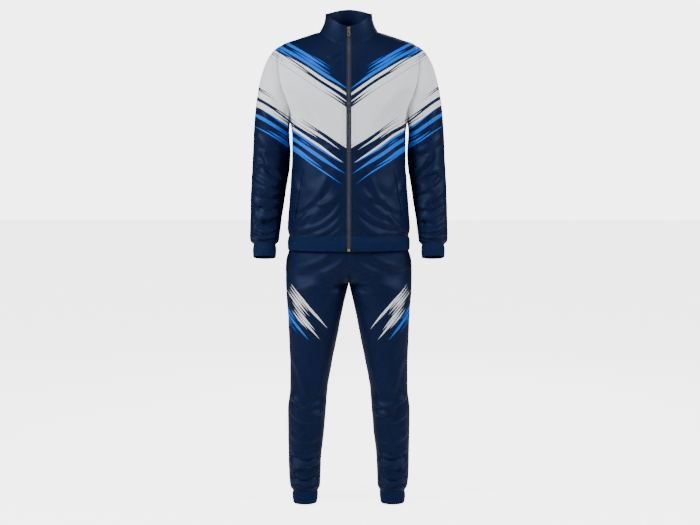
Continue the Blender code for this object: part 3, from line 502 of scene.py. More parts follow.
    def sleeve_tube(self) -> np.ndarray:
        """Lay out the +X sleeve, a tube from the armhole to the cuff seam.

        Returns:
            Its grid of points.
        """
        front, back = self.armhole_places(True).copy(), self.armhole_places(False)
        front[0, 0] = front[-1, 0] = math.pi / 2
        places = np.concatenate([front, back[-2:0:-1]])
        start = self.torso_points(places[:, 0], places[:, 1])
        turn = np.linspace(0, 2 * math.pi, len(start) + 1)[:-1]
        end = self.arm_ring(self.sleeve, 0.0, turn)
        top = (1 + np.cos(turn)) / 2
        none = np.zeros(len(turn))
        out = blend(*self.cap_out, top)
        leave = np.stack([out, -self.cap_swell * np.sin(turn), none - self.cap_down], axis=1)
        arrive = np.stack([none + self.cap_end_out, none, -blend(*self.cap_end_down, top)], axis=1)
        t = np.linspace(0, 1, self.cap_rows + 1)[:, None, None]
        cap = (
            (1 + 2 * t) * (1 - t) ** 2 * start
            + t * (1 - t) ** 2 * leave
            + t * t * (3 - 2 * t) * end
            + t * t * (t - 1) * arrive
        )
        lower = [
            self.arm_ring(self.sleeve, down, turn)
            for down in np.linspace(0, len(self.sleeve) - 1, self.arm_rows + 1)[1:]
        ]
        return np.concatenate([cap, np.array(lower)])

    def cuff_tube(self) -> np.ndarray:
        """Lay out the +X cuff, a tube below the sleeve.

        Returns:
            Its grid of points.
        """
        turn = np.linspace(0, 2 * math.pi, 2 * (self.yoke_half_columns + self.armhole_steps) + 1)[:-1]
        rows = (self.sleeve[-1],) + self.cuff
        return np.array([self.arm_ring(rows, down, turn) for down in np.linspace(0, 2, self.cuff_rows + 1)])

    def loop(self, row: int, has_yoke: bool) -> np.ndarray:
        """Run round the torso from the +X zip edge to the -X zip edge.

        Args:
            row: the row of the fronts and the back.
            has_yoke: the row crosses the yokes too.

        Returns:
            The points.
        """
        half = [self.front()[row]] + ([self.yoke()[row][1:]] if has_yoke else [])
        half = np.concatenate(half + [self.back()[row][1:self.back_half_columns + 1]])
        return np.concatenate([half, mirrored(half[:-1][::-1])])

    def collar(self) -> np.ndarray:
        """Lay out the collar, from the rim down to the neckline.

        Returns:
            Its grid of points.
        """
        neckline = self.loop(0, True)
        angles = angles_round(neckline, self.torso[0])
        rim = ring_points(self.rim._asdict(), angles)
        flare = 1 + (self.collar_flare - 1) * np.sin(angles[None, :, None]) ** 2
        rim[0, 0], rim[-1, 0] = self.zip_half_opening, -self.zip_half_opening
        up = np.linspace(1, 0, self.collar_rows + 1)[:, None, None]
        inward = 1 - (1 - up) ** flare
        share = np.concatenate([inward, inward, np.broadcast_to(up, inward.shape)], axis=2)
        return blend(neckline[None], rim[None], share)

    def hem_band(self) -> np.ndarray:
        """Lay out the hem band, from its seam down to the hem.

        Returns:
            Its grid of points.
        """
        seam_row = self.loop(-1, False)
        angles = angles_round(seam_row, self.torso[-1])
        rings = (self.torso[-1],) + self.band
        rows = [ring_points(read_rows(rings, down), angles) for down in np.linspace(0, 2, self.band_rows + 1)]
        rows[0] = seam_row
        for row in rows:
            row[0, 0], row[-1, 0] = self.zip_half_opening, -self.zip_half_opening
        return np.array(rows)


@dataclass(frozen=True)
class TrouserForm:
    """The surface of the trousers, with the counts of its grids' rows and columns."""

    legs: tuple = (
        Leg(0.0, -592.0, 175.0, 0.0, -592.0, 0.0, -114.0, 118.0, 0.0, 100.0, 100.0),
        Leg(2.2, -645.0, 181.0, 0.0, -645.0, 0.0, -119.0, 124.0, 0.0, 100.0, 105.0),
        Leg(3.3, -672.0, 185.3, 0.0, -672.0, 0.0, -121.0, 126.0, 0.0, 100.0, 106.0),
        Leg(4.6, -706.0, 194.5, 0.0, -712.0, 0.0, -120.0, 130.0, 0.0, 103.0, 110.0),
        Leg(5.7, -735.0, 196.0, 0.0, -744.0, 0.0, -104.0, 122.0, 0.15, 104.0, 110.0),
        Leg(6.6, -760.0, 196.0, 0.0, -763.0, 0.0, -74.0, 92.0, 0.45, 103.0, 108.0),
        Leg(7.4, -783.0, 195.6, 0.0, -773.0, 0.0, -34.0, 46.0, 0.8, 102.0, 106.0),
        Leg(8.0, -800.0, 195.0, 0.0, -777.0, 0.0, 4.0, 4.0, 1.0, 101.0, 104.0),
        Leg(10.0, -858.0, 190.5, 0.0, -848.0, 16.5, 4.0, 4.0, 1.0, 95.0, 97.0),
        Leg(13.0, -950.0, 186.6, 0.0, -948.0, 36.0, 4.0, 4.0, 1.0, 84.0, 84.0),
        Leg(16.0, -1040.0, 183.8, 0.0, -1040.0, 54.5, 3.0, 3.0, 1.0, 74.0, 70.0),
        Leg(18.0, -1102.0, 184.0, 0.0, -1102.0, 65.0, 2.0, 2.0, 1.0, 68.0, 63.0),
        Leg(20.5, -1178.0, 191.6, 3.0, -1178.0, 71.5, 4.0, 4.0, 1.0, 62.0, 64.0),
        Leg(23.0, -1254.0, 190.8, 8.0, -1254.0, 78.0, 9.0, 9.0, 1.0, 57.0, 62.0),
        Leg(25.5, -1330.0, 190.2, 13.0, -1330.0, 86.5, 13.0, 13.0, 1.0, 53.0, 56.0),
        Leg(27.4, -1388.0, 188.6, 15.0, -1388.0, 89.0, 15.0, 15.0, 1.0, 50.0, 52.0),
        Leg(28.4, -1419.0, 185.0, 15.0, -1419.0, 90.5, 15.0, 15.0, 1.0, 46.0, 48.0),
        Leg(29.0, -1434.0, 177.2, 15.0, -1434.0, 97.0, 15.0, 15.0, 1.0, 39.0, 41.0),
    )
    waist_top: Leg = Leg(0.0, -555.0, 172.0, 0.0, -555.0, 0.0, -111.0, 115.0, 0.0, 100.0, 100.0)
    ankle: tuple = (
        Leg(0.0, -1453.0, 178.4, 15.0, -1453.0, 97.6, 15.0, 15.0, 1.0, 40.5, 42.5),
        Leg(1.0, -1473.0, 175.4, 15.0, -1473.0, 100.6, 15.0, 15.0, 1.0, 37.5, 39.5),
    )
    quarter_arc: float = 0.56
    half_arc: float = 4 / 3
    columns: int = 8 * FINE
    rows: int = 29 * FINE
    cuff_rows: int = 2 * FINE
    waist_rows: int = FINE

    def row(self, size: dict, is_front: bool) -> np.ndarray:
        """Bend one row of a +X trouser panel.

        Args:
            size: the row's sizes by name.
            is_front: the front panel, or else the back panel.

        Returns:
            Points from the rise or inseam to the outseam.
        """
        sign = -1.0 if is_front else 1.0
        share = np.linspace(0, 1, self.columns + 1)[:, None]
        start = np.array([size["x_in"], size["in_front" if is_front else "in_back"], size["z_in"]], float)
        end = np.array([size["x_out"], size["y_out"], size["z_out"]], float)
        swell = size["swell_front" if is_front else "swell_back"] * self.half_arc
        lean = size["lean"]
        from_start = np.array([(1 - lean) * self.quarter_arc * size["x_out"], sign * lean * swell, 0.0])
        reach = blend(self.quarter_arc * abs(start[1] - end[1]), swell, lean)
        from_end = np.array([0.0, sign * reach, 0.0])
        return (
            (1 - share) ** 3 * start
            + 3 * share * (1 - share) ** 2 * (start + from_start)
            + 3 * share**2 * (1 - share) * (end + from_end)
            + share**3 * end
        )

    def panel(self, is_front: bool) -> np.ndarray:
        """Lay out a +X trouser panel, from the waist seam to the ankle seam.

        Args:
            is_front: the front panel, or else the back panel.

        Returns:
            Its grid of points.
        """
        knots = [row.row for row in self.legs]
        sizes = read_rows(self.legs, np.linspace(0, knots[-1], self.rows + 1), knots)
        return np.array([
            self.row({name: float(values[number]) for name, values in sizes.items()}, is_front)
            for number in range(self.rows + 1)
        ])

    def ankle_tube(self) -> np.ndarray:
        """Lay out the +X ankle cuff, a tube below the ankle seam.

        Returns:
            Its grid of points.
        """
        sizes = read_rows((self.legs[-1],) + self.ankle, np.linspace(0, 2, self.cuff_rows + 1))
        rows = []
        for number in range(self.cuff_rows + 1):
            size = {name: float(values[number]) for name, values in sizes.items()}
            front, back = self.row(size, True), self.row(size, False)
            rows.append(np.concatenate([front, back[-2:0:-1]]))
        return np.array(rows)

    def waist_tube(self) -> np.ndarray:
        """Lay out the waistband, a closed ring above the waist seam.

        Returns:
            Its grid of points.
        """
        sizes = read_rows((self.waist_top, self.legs[0]), np.linspace(0, 1, self.waist_rows + 1))
        rows = []
        for number in range(self.waist_rows + 1):
            size = {name: float(values[number]) for name, values in sizes.items()}
            half = np.concatenate([self.row(size, True), self.row(size, False)[-2::-1]])
            rows.append(np.concatenate([half, mirrored(half[-2:0:-1])]))
        return np.array(rows)


@dataclass(frozen=True)
class Creases:
    """The suit's folds and the small unevenness of its cloth."""

    large: tuple = folds_on(
        Face.FRONT,
        (-30, -505, -150, -598, 17, 4.5),
        (-34, -545, -120, -612, 13, -3.5),
        (-22, -440, -120, -500, 20, 3.5),
        (32, -495, 146, -596, 17, 4.5),
        (38, -540, 118, -610, 13, -3.5),
        (24, -430, 128, -492, 20, 3.5),
        (-150, -300, -70, -390, 22, -3.5),
        (150, -300, 72, -385, 22, -3.5),
        (-296, -430, -196, -500, 15, -4),
        (-200, -455, -296, -520, 14, 4),
        (-300, -565, -212, -600, 13, -3.5),
        (-214, -615, -300, -632, 12, 4),
        (296, -425, 196, -498, 15, -4),
        (200, -460, 296, -524, 14, 4),
        (300, -560, 212, -598, 13, -3.5),
        (214, -612, 300, -634, 12, 4),
        (-278, -250, -230, -330, 18, 4),
        (278, -250, 230, -330, 18, 4),
        (-40, -700, -150, -765, 18, -4),
        (42, -698, 150, -762, 18, -4),
        (-18, -790, -120, -838, 17, 4),
        (18, -790, 118, -834, 17, 4),
        (-70, -1125, -170, -1165, 16, -4.5),
        (-176, -1128, -84, -1194, 15, 3.5),
        (70, -1120, 168, -1160, 16, -4.5),
        (176, -1126, 84, -1190, 15, 3.5),
        (-92, -1300, -184, -1324, 13, -4.5),
        (-94, -1340, -184, -1352, 13, 4.5),
        (-96, -1384, -182, -1380, 13, -4.5),
        (92, -1302, 184, -1322, 13, -4.5),
        (94, -1342, 184, -1350, 13, 4.5),
        (96, -1382, 182, -1378, 13, -4.5),
    ) + folds_on(
        Face.BACK,
        (-150, -330, -40, -430, 22, -4),
        (150, -322, 38, -425, 22, -4),
        (-30, -520, -150, -590, 20, 4),
        (34, -512, 148, -586, 20, 4),
        (-120, -560, 120, -566, 16, -3.5),
        (-296, -470, -200, -440, 16, -4),
        (-296, -610, -214, -590, 14, 4),
        (296, -466, 200, -436, 16, -4),
        (296, -606, 214, -588, 14, 4),
        (-20, -800, -150, -770, 22, -4.5),
        (20, -800, 150, -766, 22, -4.5),
        (-176, -1110, -72, -1140, 15, -4.5),
        (176, -1106, 72, -1136, 15, -4.5),
        (-92, -1330, -184, -1310, 14, -4),
        (-94, -1385, -184, -1372, 14, 4.5),
        (92, -1328, 184, -1308, 14, -4),
        (94, -1383, 184, -1370, 14, 4.5),
    )
    torso: tuple = folds_on(
        Face.FRONT,
        (14, -518, 158, -600, 8.5, 4.2, -22, 0.7),
        (20, -562, 96, -626, 7.5, 3.4, -9, 0.7),
        (62, -455, 160, -556, 9.5, 4, -18, 0.6),
        (16, -470, 110, -520, 9, 2.8, -14, 0.6),
        (17, -596, 54, -628, 6.5, 2.6, -5, 0.6),
        (118, -560, 176, -612, 7.5, 3.2, -8, 0.7),
        (15, -404, 56, -426, 6, 2.2, -6, 0.5),
        (15, -346, 74, -372, 8, 1.9, -8, 0.5),
        (-14, -522, -164, -612, 8.5, 4.2, 24, -0.7),
        (-18, -560, -108, -626, 7.5, 3.6, 12, -0.7),
        (-64, -448, -162, -552, 9.5, 3.8, 18, -0.6),
        (-15, -486, -100, -532, 8.5, 2.8, 14, -0.6),
        (-16, -590, -58, -628, 6.5, 2.8, 6, -0.6),
        (-122, -556, -176, -606, 7.5, 3.2, 8, -0.7),
        (-15, -410, -50, -430, 6, 2, 6, -0.5),
        (-15, -338, -80, -370, 8, 1.9, 8, -0.5),
        (176, -196, 104, -286, 10, -3.2, -10, 0.4),
        (-176, -192, -100, -290, 10, -3.2, 10, -0.4),
        (172, -262, 118, -352, 9, 3, -8, 0.5),
        (-172, -266, -120, -350, 9, 3, 8, -0.5),
        (120, -70, 60, -120, 9, 1.6, 6, 0.4),
        (-120, -72, -62, -118, 9, 1.6, -6, -0.4),
        (13, -66, 60, -96, 5, 1.8, -5, 0.5),
        (-13, -68, -62, -94, 5, 1.8, 5, -0.5),
        (13, -86, 42, -122, 5.5, 1.5, -4, 0.5),
        (-13, -84, -46, -120, 5.5, 1.5, 4, -0.5),
        (12, -26, 46, -54, 4.5, 1.4, -4, 0.5),
        (-12, -28, -44, -52, 4.5, 1.4, 4, -0.5),
        (184, -430, 150, -500, 9, 2.2, 0, 0.5),
        (-184, -424, -150, -496, 9, 2.2, 0, -0.5),
    ) + folds_on(
        Face.BACK,
        (-170, -250, -96, -410, 11, 3, 12, 0.6),
        (170, -246, 92, -404, 11, 3, -12, -0.6),
        (-172, -330, -40, -452, 10, 3, 14, 0.6),
        (172, -336, 44, -446, 10, 3, -14, -0.6),
        (-150, -476, 30, -514, 10, 3, -12, 0.6),
        (156, -462, 4, -492, 10, 2.6, 10, -0.6),
        (-164, -540, -30, -596, 9, 3.4, 12, 0.7),
        (164, -536, 26, -598, 9, 3.4, -12, -0.7),
        (-120, -596, 10, -622, 7.5, 2.8, 0, 0.6),
        (128, -590, 40, -620, 7.5, 2.8, 0, -0.6),
        (-96, -92, 96, -90, 11, -1.7, -8, 0.4),
        (-60, -60, 60, -58, 8, -1.2, -5, 0.4),
        (-150, -150, -110, -260, 11, -2.4, 8, 0.4),
        (150, -146, 112, -256, 11, -2.4, -8, -0.4),
    )
    sleeves: tuple = folds_on(
        Face.FRONT,
        (-262, -372, -196, -456, 8.5, 5.2, -8, 0.8),
        (-292, -414, -226, -424, 7.5, 3.6, 10, 0.8),
        (-290, -446, -212, -474, 7, 4, -10, 0.8),
        (-286, -492, -198, -486, 7, 4.2, -17, 0.8),
        (-292, -522, -204, -520, 6.5, 4.2, -19, 0.8),
        (-284, -548, -214, -528, 6, 3.6, 12, 0.8),
        (-292, -566, -208, -556, 6.5, 4.2, -17, 0.8),
        (-286, -600, -222, -572, 6, 3.4, 10, 0.8),
        (-294, -598, -210, -596, 6.5, 4, -18, 0.8),
        (-294, -628, -218, -626, 5.5, 3, -8, 0.7),
        (-270, -222, -214, -312, 10, 3.2, -8, 0.6),
        (-252, -160, -204, -236, 10, -2.6, -6, 0.4),
        (-284, -316, -206, -378, 9, 3.4, -9, 0.7),
        (248, -366, 190, -436, 8.5, 5, 12, -0.8),
        (296, -430, 214, -452, 7.5, 3.8, -8, -0.8),
        (284, -444, 202, -500, 7, 4.4, 8, -0.8),
        (294, -480, 226, -528, 6.5, 3.8, 9, -0.8),
        (288, -520, 204, -536, 6.5, 4.4, 15, -0.8),
        (296, -540, 222, -580, 6, 3.8, 10, -0.8),
        (290, -566, 208, -572, 6.5, 4, 15, -0.8),
        (296, -590, 218, -612, 6, 3.8, 12, -0.8),
        (292, -620, 216, -626, 5.5, 3.2, 9, -0.7),
        (270, -226, 214, -308, 10, 3.2, 8, -0.6),
        (252, -164, 204, -232, 10, -2.6, 6, -0.4),
        (284, -320, 206, -374, 9, 3.4, 9, -0.7),
    ) + folds_on(
        Face.BACK,
        (-282, -350, -200, -396, 9, 3.2, -8, 0.7),
        (-290, -412, -200, -424, 8, 3.8, -14, 0.7),
        (-290, -476, -204, -492, 8, 3.6, -12, 0.7),
        (-292, -536, -210, -534, 7, 3.6, -14, 0.7),
        (-292, -584, -214, -578, 7, 3.6, -14, 0.7),
        (-292, -622, -218, -620, 6, 3, -8, 0.7),
        (282, -354, 200, -392, 9, 3.2, 8, -0.7),
        (290, -410, 200, -428, 8, 3.8, 14, -0.7),
        (290, -472, 204, -494, 8, 3.6, 12, -0.7),
        (292, -532, 210, -538, 7, 3.6, 14, -0.7),
        (292, -580, 214, -580, 7, 3.6, 14, -0.7),
        (292, -620, 218, -622, 6, 3, 8, -0.7),
    )
    legs: tuple = folds_on(
        Face.FRONT,
        (-10, -694, -84, -744, 9, 2.8, 8, -0.6),
        (10, -692, 86, -742, 9, 2.8, -8, 0.6),
        (-60, -688, -176, -730, 10, 2.8, 9, -0.6),
        (62, -686, 176, -728, 10, 2.8, -9, 0.6),
        (-5, -764, -56, -796, 7, -2.4, 5, -0.5),
        (5, -766, 56, -798, 7, -2.4, -5, 0.5),
        (-30, -812, -120, -860, 10, 2.4, 8, -0.5),
        (30, -810, 118, -864, 10, 2.4, -8, 0.5),
        (-166, -1010, -132, -1130, 10, 2.4, 4, 0.5),
        (166, -1006, 134, -1126, 10, 2.4, -4, -0.5),
        (-84, -1030, -98, -1120, 9, 2, 3, 0.5),
        (84, -1034, 98, -1118, 9, 2, -3, -0.5),
        (-176, -1128, -84, -1148, 8, 4.2, -16, 0.8),
        (-150, -1162, -82, -1176, 7, 3, -7, 0.8),
        (-176, -1178, -110, -1204, 8, 2.8, -8, 0.7),
        (176, -1126, 84, -1152, 8, 4.2, 14, -0.8),
        (148, -1160, 82, -1180, 7, 3, 7, -0.8),
        (176, -1182, 108, -1202, 8, 2.8, 8, -0.7),
        (-182, -1248, -96, -1258, 9, 2.6, -12, 0.6),
        (182, -1244, 96, -1260, 9, 2.6, 12, -0.6),
        (-178, -1300, -92, -1304, 7, 4, -18, 0.8),
        (-182, -1336, -94, -1332, 6.5, 4.4, -19, 0.8),
        (-174, -1362, -104, -1342, 6, 3.4, 9, 0.8),
        (-182, -1372, -94, -1366, 6.5, 4.4, -17, 0.8),
        (-176, -1396, -100, -1398, 6, 3.6, -9, 0.8),
        (-176, -1418, -100, -1416, 5, 2.6, -4, 0.6),
        (178, -1298, 92, -1306, 7, 4, 18, -0.8),
        (182, -1332, 94, -1336, 6.5, 4.4, 19, -0.8),
        (174, -1358, 104, -1346, 6, 3.4, -9, -0.8),
        (182, -1368, 94, -1370, 6.5, 4.4, 17, -0.8),
        (176, -1394, 100, -1400, 6, 3.6, 9, -0.8),
        (176, -1416, 100, -1418, 5, 2.6, 4, -0.6),
    ) + folds_on(
        Face.BACK,
        (-150, -770, -24, -812, 11, 3.2, -12, 0.6),
        (150, -768, 24, -814, 11, 3.2, 12, -0.6),
        (-160, -830, -40, -862, 11, 2.6, -12, 0.6),
        (160, -828, 40, -866, 11, 2.6, 12, -0.6),
        (-176, -1090, -72, -1110, 9, 3.6, -14, 0.7),
        (176, -1086, 72, -1112, 9, 3.6, 14, -0.7),
        (-176, -1130, -76, -1158, 8.5, 3.4, -12, 0.7),
        (176, -1128, 76, -1160, 8.5, 3.4, 12, -0.7),
        (-180, -1190, -84, -1200, 9, 2.8, -12, 0.6),
        (180, -1186, 84, -1204, 9, 2.8, 12, -0.6),
        (-182, -1296, -92, -1300, 7.5, 3.6, -16, 0.7),
        (182, -1292, 92, -1302, 7.5, 3.6, 16, -0.7),
        (-182, -1344, -94, -1340, 7, 3.8, -16, 0.7),
        (182, -1340, 94, -1344, 7, 3.8, 16, -0.7),
        (-182, -1388, -96, -1386, 6.5, 3.6, -12, 0.7),
        (182, -1384, 96, -1388, 6.5, 3.6, 12, -0.7),
    )
    clear_from: float = 12.0
    clear_over: float = 30.0
    hem_z: float = -673.0
    ripple_scale: float = 34.0
    ripple_height: float = 0.7
    hollow_aside: float = 1.7
    small_share: float = 1.35
    end_fade: float = 2.5
    face_fade: float = 1.5

    def heights(self, points: np.ndarray, normals: np.ndarray) -> np.ndarray:
        """How far the folds lift each point off the plain surface.

        Args:
            points: grid points in millimetres.
            normals: their outward normals.

        Returns:
            Lifts in millimetres.
        """
        lift = np.zeros(points.shape[:2])
        for fold in self.large:
            lift += self.one_fold(fold, points, normals)
        for fold in self.torso + self.sleeves + self.legs:
            lift += self.one_fold(fold, points, normals) * self.small_share
        ripple = np.array([[noise.noise(Vector(point / self.ripple_scale)) for point in row] for row in points])
        lift += ripple * self.ripple_height
        is_jacket_front = (normals[..., 1] < 0) & (points[..., 2] > self.hem_z)
        near = np.clip((np.abs(points[..., 0]) - self.clear_from) / self.clear_over, 0, 1)
        return np.where(is_jacket_front, lift * near, lift)

    def one_fold(self, fold: Fold, points: np.ndarray, normals: np.ndarray) -> np.ndarray:
        """Work out one fold, which fades towards its ends and on cloth that turns away.

        Args:
            fold: the fold.
            points: grid points in millimetres.
            normals: their outward normals.

        Returns:
            Lifts in millimetres.
        """
        facing = -normals[..., 1] if fold.face is Face.FRONT else normals[..., 1]
        run = np.array([fold.x1 - fold.x0, fold.z1 - fold.z0])
        length = float(np.linalg.norm(run))
        run /= length
        from_start = points[..., (0, 2)] - np.array([fold.x0, fold.z0])
        along = from_start @ run
        share = np.clip(along / length, 0, 1)
        aside = (from_start @ np.array([-run[1], run[0]]) - 4 * fold.bow * share * (1 - share)) / fold.width
        to_end = np.minimum(along + fold.width, length + fold.width - along)
        end = np.clip(to_end / (self.end_fade * fold.width), 0, 1)
        fade = end * end * (3 - 2 * end)
        hollow = np.exp(-((aside + math.copysign(self.hollow_aside, fold.lean)) ** 2)) * abs(fold.lean)
        return fold.height * (np.exp(-(aside**2)) - hollow) * fade * np.clip(facing * self.face_fade, 0, 1)


class Cloth:
    """A piece of cloth on its grid: outer and inner points, shared normals and seams."""

    NEIGHBOURS = 5
    EVENING = 0.2
    SHARP_DEGREES = 50.0

    def __init__(self, name: str, grid: np.ndarray, inside: np.ndarray | tuple, seams: tuple[Edge, ...] = (),
                 closed: bool = False, thick: float = CLOTH_THICK, is_rib: bool = False) -> None:
        """Keep the piece's grid and find which way it faces.

        Args:
            name: the CAD node that the piece stands for.
            grid: points in rows and columns, in millimetres.
            inside: a point on the hollow side.
            seams: the edges that meet another piece.
            closed: the columns run round a tube.
            thick: thickness of the cloth.
            is_rib: rib knit, or else smooth shell cloth.
        """
        self.name = name
        self.base = np.array(grid, float)
        self.closed = closed
        self.seams = seams
        self.thick = thick
        self.is_rib = is_rib
        self.outer = self.base.copy()
        self.inner = self.base.copy()
        self.normals = np.zeros_like(self.base)
        self.lift = np.zeros(self.base.shape[:2])
        self.turned = False
        a, b, c, d = self.corners(self.base)
        inside = self.base.mean(axis=1, keepdims=True)[:-1] if closed else np.array(inside, float)
        self.turned = float(np.sum(self.face_normals() * ((a + b + c + d) / 4 - inside))) < 0

    def corners(self, points: np.ndarray) -> tuple:
        """Find the corners of the grid's cells.

        Args:
            points: one point for each place of the grid.

        Returns:
            Four arrays, one for each corner, in order round the cell.
        """
        after = np.roll(points, -1, axis=1) if self.closed else points[:, 1:]
        before = points if self.closed else points[:, :-1]
        return before[:-1], after[:-1], after[1:], before[1:]

    def face_normals(self) -> np.ndarray:
        """Find which way each cell faces.

        Returns:
            Outward normals, as long as twice the cell's area.
        """
        a, b, c, d = self.corners(self.outer)
        normal = np.cross(c - a, d - b)
        return -normal if self.turned else normal

    def corner_sums(self) -> np.ndarray:
        """Add up the neighbouring cells' normals at each grid point, each weighted by its angle there.

        Returns:
            The sums.
        """
        corners = self.corners(self.outer)
        faces = self.face_normals()
        faces = faces / (np.linalg.norm(faces, axis=2, keepdims=True) + TINY)
        sums = np.zeros_like(self.outer)
        for number, here in enumerate(corners):
            after, before = corners[(number + 1) % 4] - here, corners[number - 1] - here
            lengths = np.linalg.norm(after, axis=2) * np.linalg.norm(before, axis=2) + TINY
            angle = np.arccos(np.clip(np.sum(after * before, axis=2) / lengths, -1, 1))
            weighted = faces * angle[..., None]
            rows = slice(None, -1) if number < 2 else slice(1, None)
            is_first = number in (0, 3)
            if self.closed:
                sums[rows] += weighted if is_first else np.roll(weighted, 1, axis=1)
            else:
                sums[rows, slice(None, -1) if is_first else slice(1, None)] += weighted
        return sums

    def edge_lines(self, edge: Edge, grid: np.ndarray) -> np.ndarray:
        """Turn a grid so that its first row is the given edge.

        Args:
            edge: the edge to start from.
            grid: one value for each place of the grid.

        Returns:
            The same values, seen from that edge.
        """
        return {
            Edge.TOP: grid,
            Edge.BOTTOM: grid[::-1],
            Edge.START: grid.swapaxes(0, 1),
            Edge.END: grid[:, ::-1].swapaxes(0, 1),
        }[edge]

    def reach_from(self, edge: Edge, grid: np.ndarray) -> np.ndarray:
        """Measure how far each grid point lies from an edge, along the cloth.

        Args:
            edge: the edge to start from.
            grid: the cloth's points.

        Returns:
            Distances in millimetres, seen from that edge.
        """
        points = self.edge_lines(edge, grid)
        steps = np.linalg.norm(np.diff(points, axis=0), axis=2)
        return np.concatenate([np.zeros((1, points.shape[1])), np.cumsum(steps, axis=0)])

    def line_beside(self, edge: Edge, distance: float, lift: float) -> np.ndarray:
        """Points on the cloth at a distance in from one edge.

        Args:
            edge: the edge to follow.
            distance: how far in, in millimetres.
            lift: how far off the surface.

        Returns:
            One point for each grid line that leaves the edge.
        """
        lifted = self.edge_lines(edge, self.outer) + self.edge_lines(edge, self.normals) * lift
        reach = self.reach_from(edge, self.outer)
        return np.array([
            [np.interp(distance, reach[:, number], lifted[:, number, axis]) for axis in range(3)]
            for number in range(lifted.shape[1])
        ])

    def surface_at(self, x: float, z: float) -> tuple[np.ndarray, np.ndarray]:
        """Find a place on the cloth as seen from the front, from the nearest grid points.

        Args:
            x: its distance from the middle.
            z: its height.

        Returns:
            The point and the cloth's normal there.
        """
        points, normals = self.outer.reshape(-1, 3), self.normals.reshape(-1, 3)
        away = np.hypot(points[:, 0] - x, points[:, 2] - z)
        near = np.argsort(away)[:self.NEIGHBOURS]
        weights = 1 / (away[near] ** 2 + self.EVENING)
        weights /= weights.sum()
        slope = normals[near]
        sink = slope[:, 0] * (x - points[near, 0]) + slope[:, 2] * (z - points[near, 2])
        y = points[near, 1] - sink / slope[:, 1]
        normal = weights @ slope
        return np.array([x, weights @ y, z]), normal / np.linalg.norm(normal)

    def object(self, material: bpy.types.Material) -> bpy.types.Object:
        """Make the piece a mesh with its thickness and a UV map in metres.

        Args:
            material: the cloth's finish.

        Returns:
            The piece.
        """
        rows, columns = self.outer.shape[:2]
        steps = columns if self.closed else columns - 1
        vertices = np.concatenate([self.outer.reshape(-1, 3), self.inner.reshape(-1, 3)]) * MM
        inner = rows * columns
        r, c = np.meshgrid(np.arange(rows - 1), np.arange(steps), indexing="ij")
        here, below, after = r * columns, (r + 1) * columns, (c + 1) % columns
        corners = (here + c, here + after, below + after, below + c)
        skin = np.stack([corner.ravel() for corner in corners], axis=1)
        faces = [skin[:, ::-1] if self.turned else skin, (skin if self.turned else skin[:, ::-1]) + inner]
        first, second, last = np.arange(steps), (np.arange(steps) + 1) % columns, (rows - 1) * columns
        ends = [(first, second, True), (last + first, last + second, False)]
        if not self.closed:
            down = np.arange(rows - 1) * columns
            ends.append((down, down + columns, False))
            ends.append((down + columns - 1, down + 2 * columns - 1, True))
        for first, second, is_forward in ends:
            edge = np.stack([first, first + inner, second + inner, second], axis=1)
            faces.append(edge if is_forward != self.turned else edge[:, ::-1])
        mesh = bpy.data.meshes.new(self.name + "_cloth")
        mesh.from_pydata(vertices.tolist(), [], np.concatenate(faces).tolist())
        self.unwrap(mesh)
        mesh.shade_smooth()
        mesh.set_sharp_from_angle(angle=math.radians(self.SHARP_DEGREES))
        mesh.materials.append(material)
        piece = bpy.data.objects.new(self.name + "_cloth", mesh)
        bpy.context.scene.collection.objects.link(piece)
        return piece

    def unwrap(self, mesh: bpy.types.Mesh) -> None:
        """Write a UV map in metres: U round the piece and V down it.

        Args:
            mesh: the piece's mesh.
        """
        across = np.linalg.norm(np.diff(self.base, axis=1), axis=2)
        down = np.linalg.norm(np.diff(self.base, axis=0), axis=2).mean(axis=1)
        u = np.concatenate([np.zeros((len(across), 1)), np.cumsum(across, axis=1)], axis=1) * MM
        v = -np.concatenate([[0.0], np.cumsum(down)]) * MM
        place = np.stack([u, np.broadcast_to(v[:, None], u.shape)], axis=2).reshape(-1, 2)
        place = np.concatenate([place, place])
        corners = np.zeros(len(mesh.loops), np.int32)
        mesh.loops.foreach_get("vertex_index", corners)
        layer = mesh.uv_layers.new(name="cloth")
        layer.data.foreach_set("uv", place[corners].astype(np.float32).ravel())

    @property
    def area(self) -> float:
        """Area of the outer skin in square metres."""
        return float(np.linalg.norm(self.face_normals(), axis=2).sum()) / 2 * MM * MM


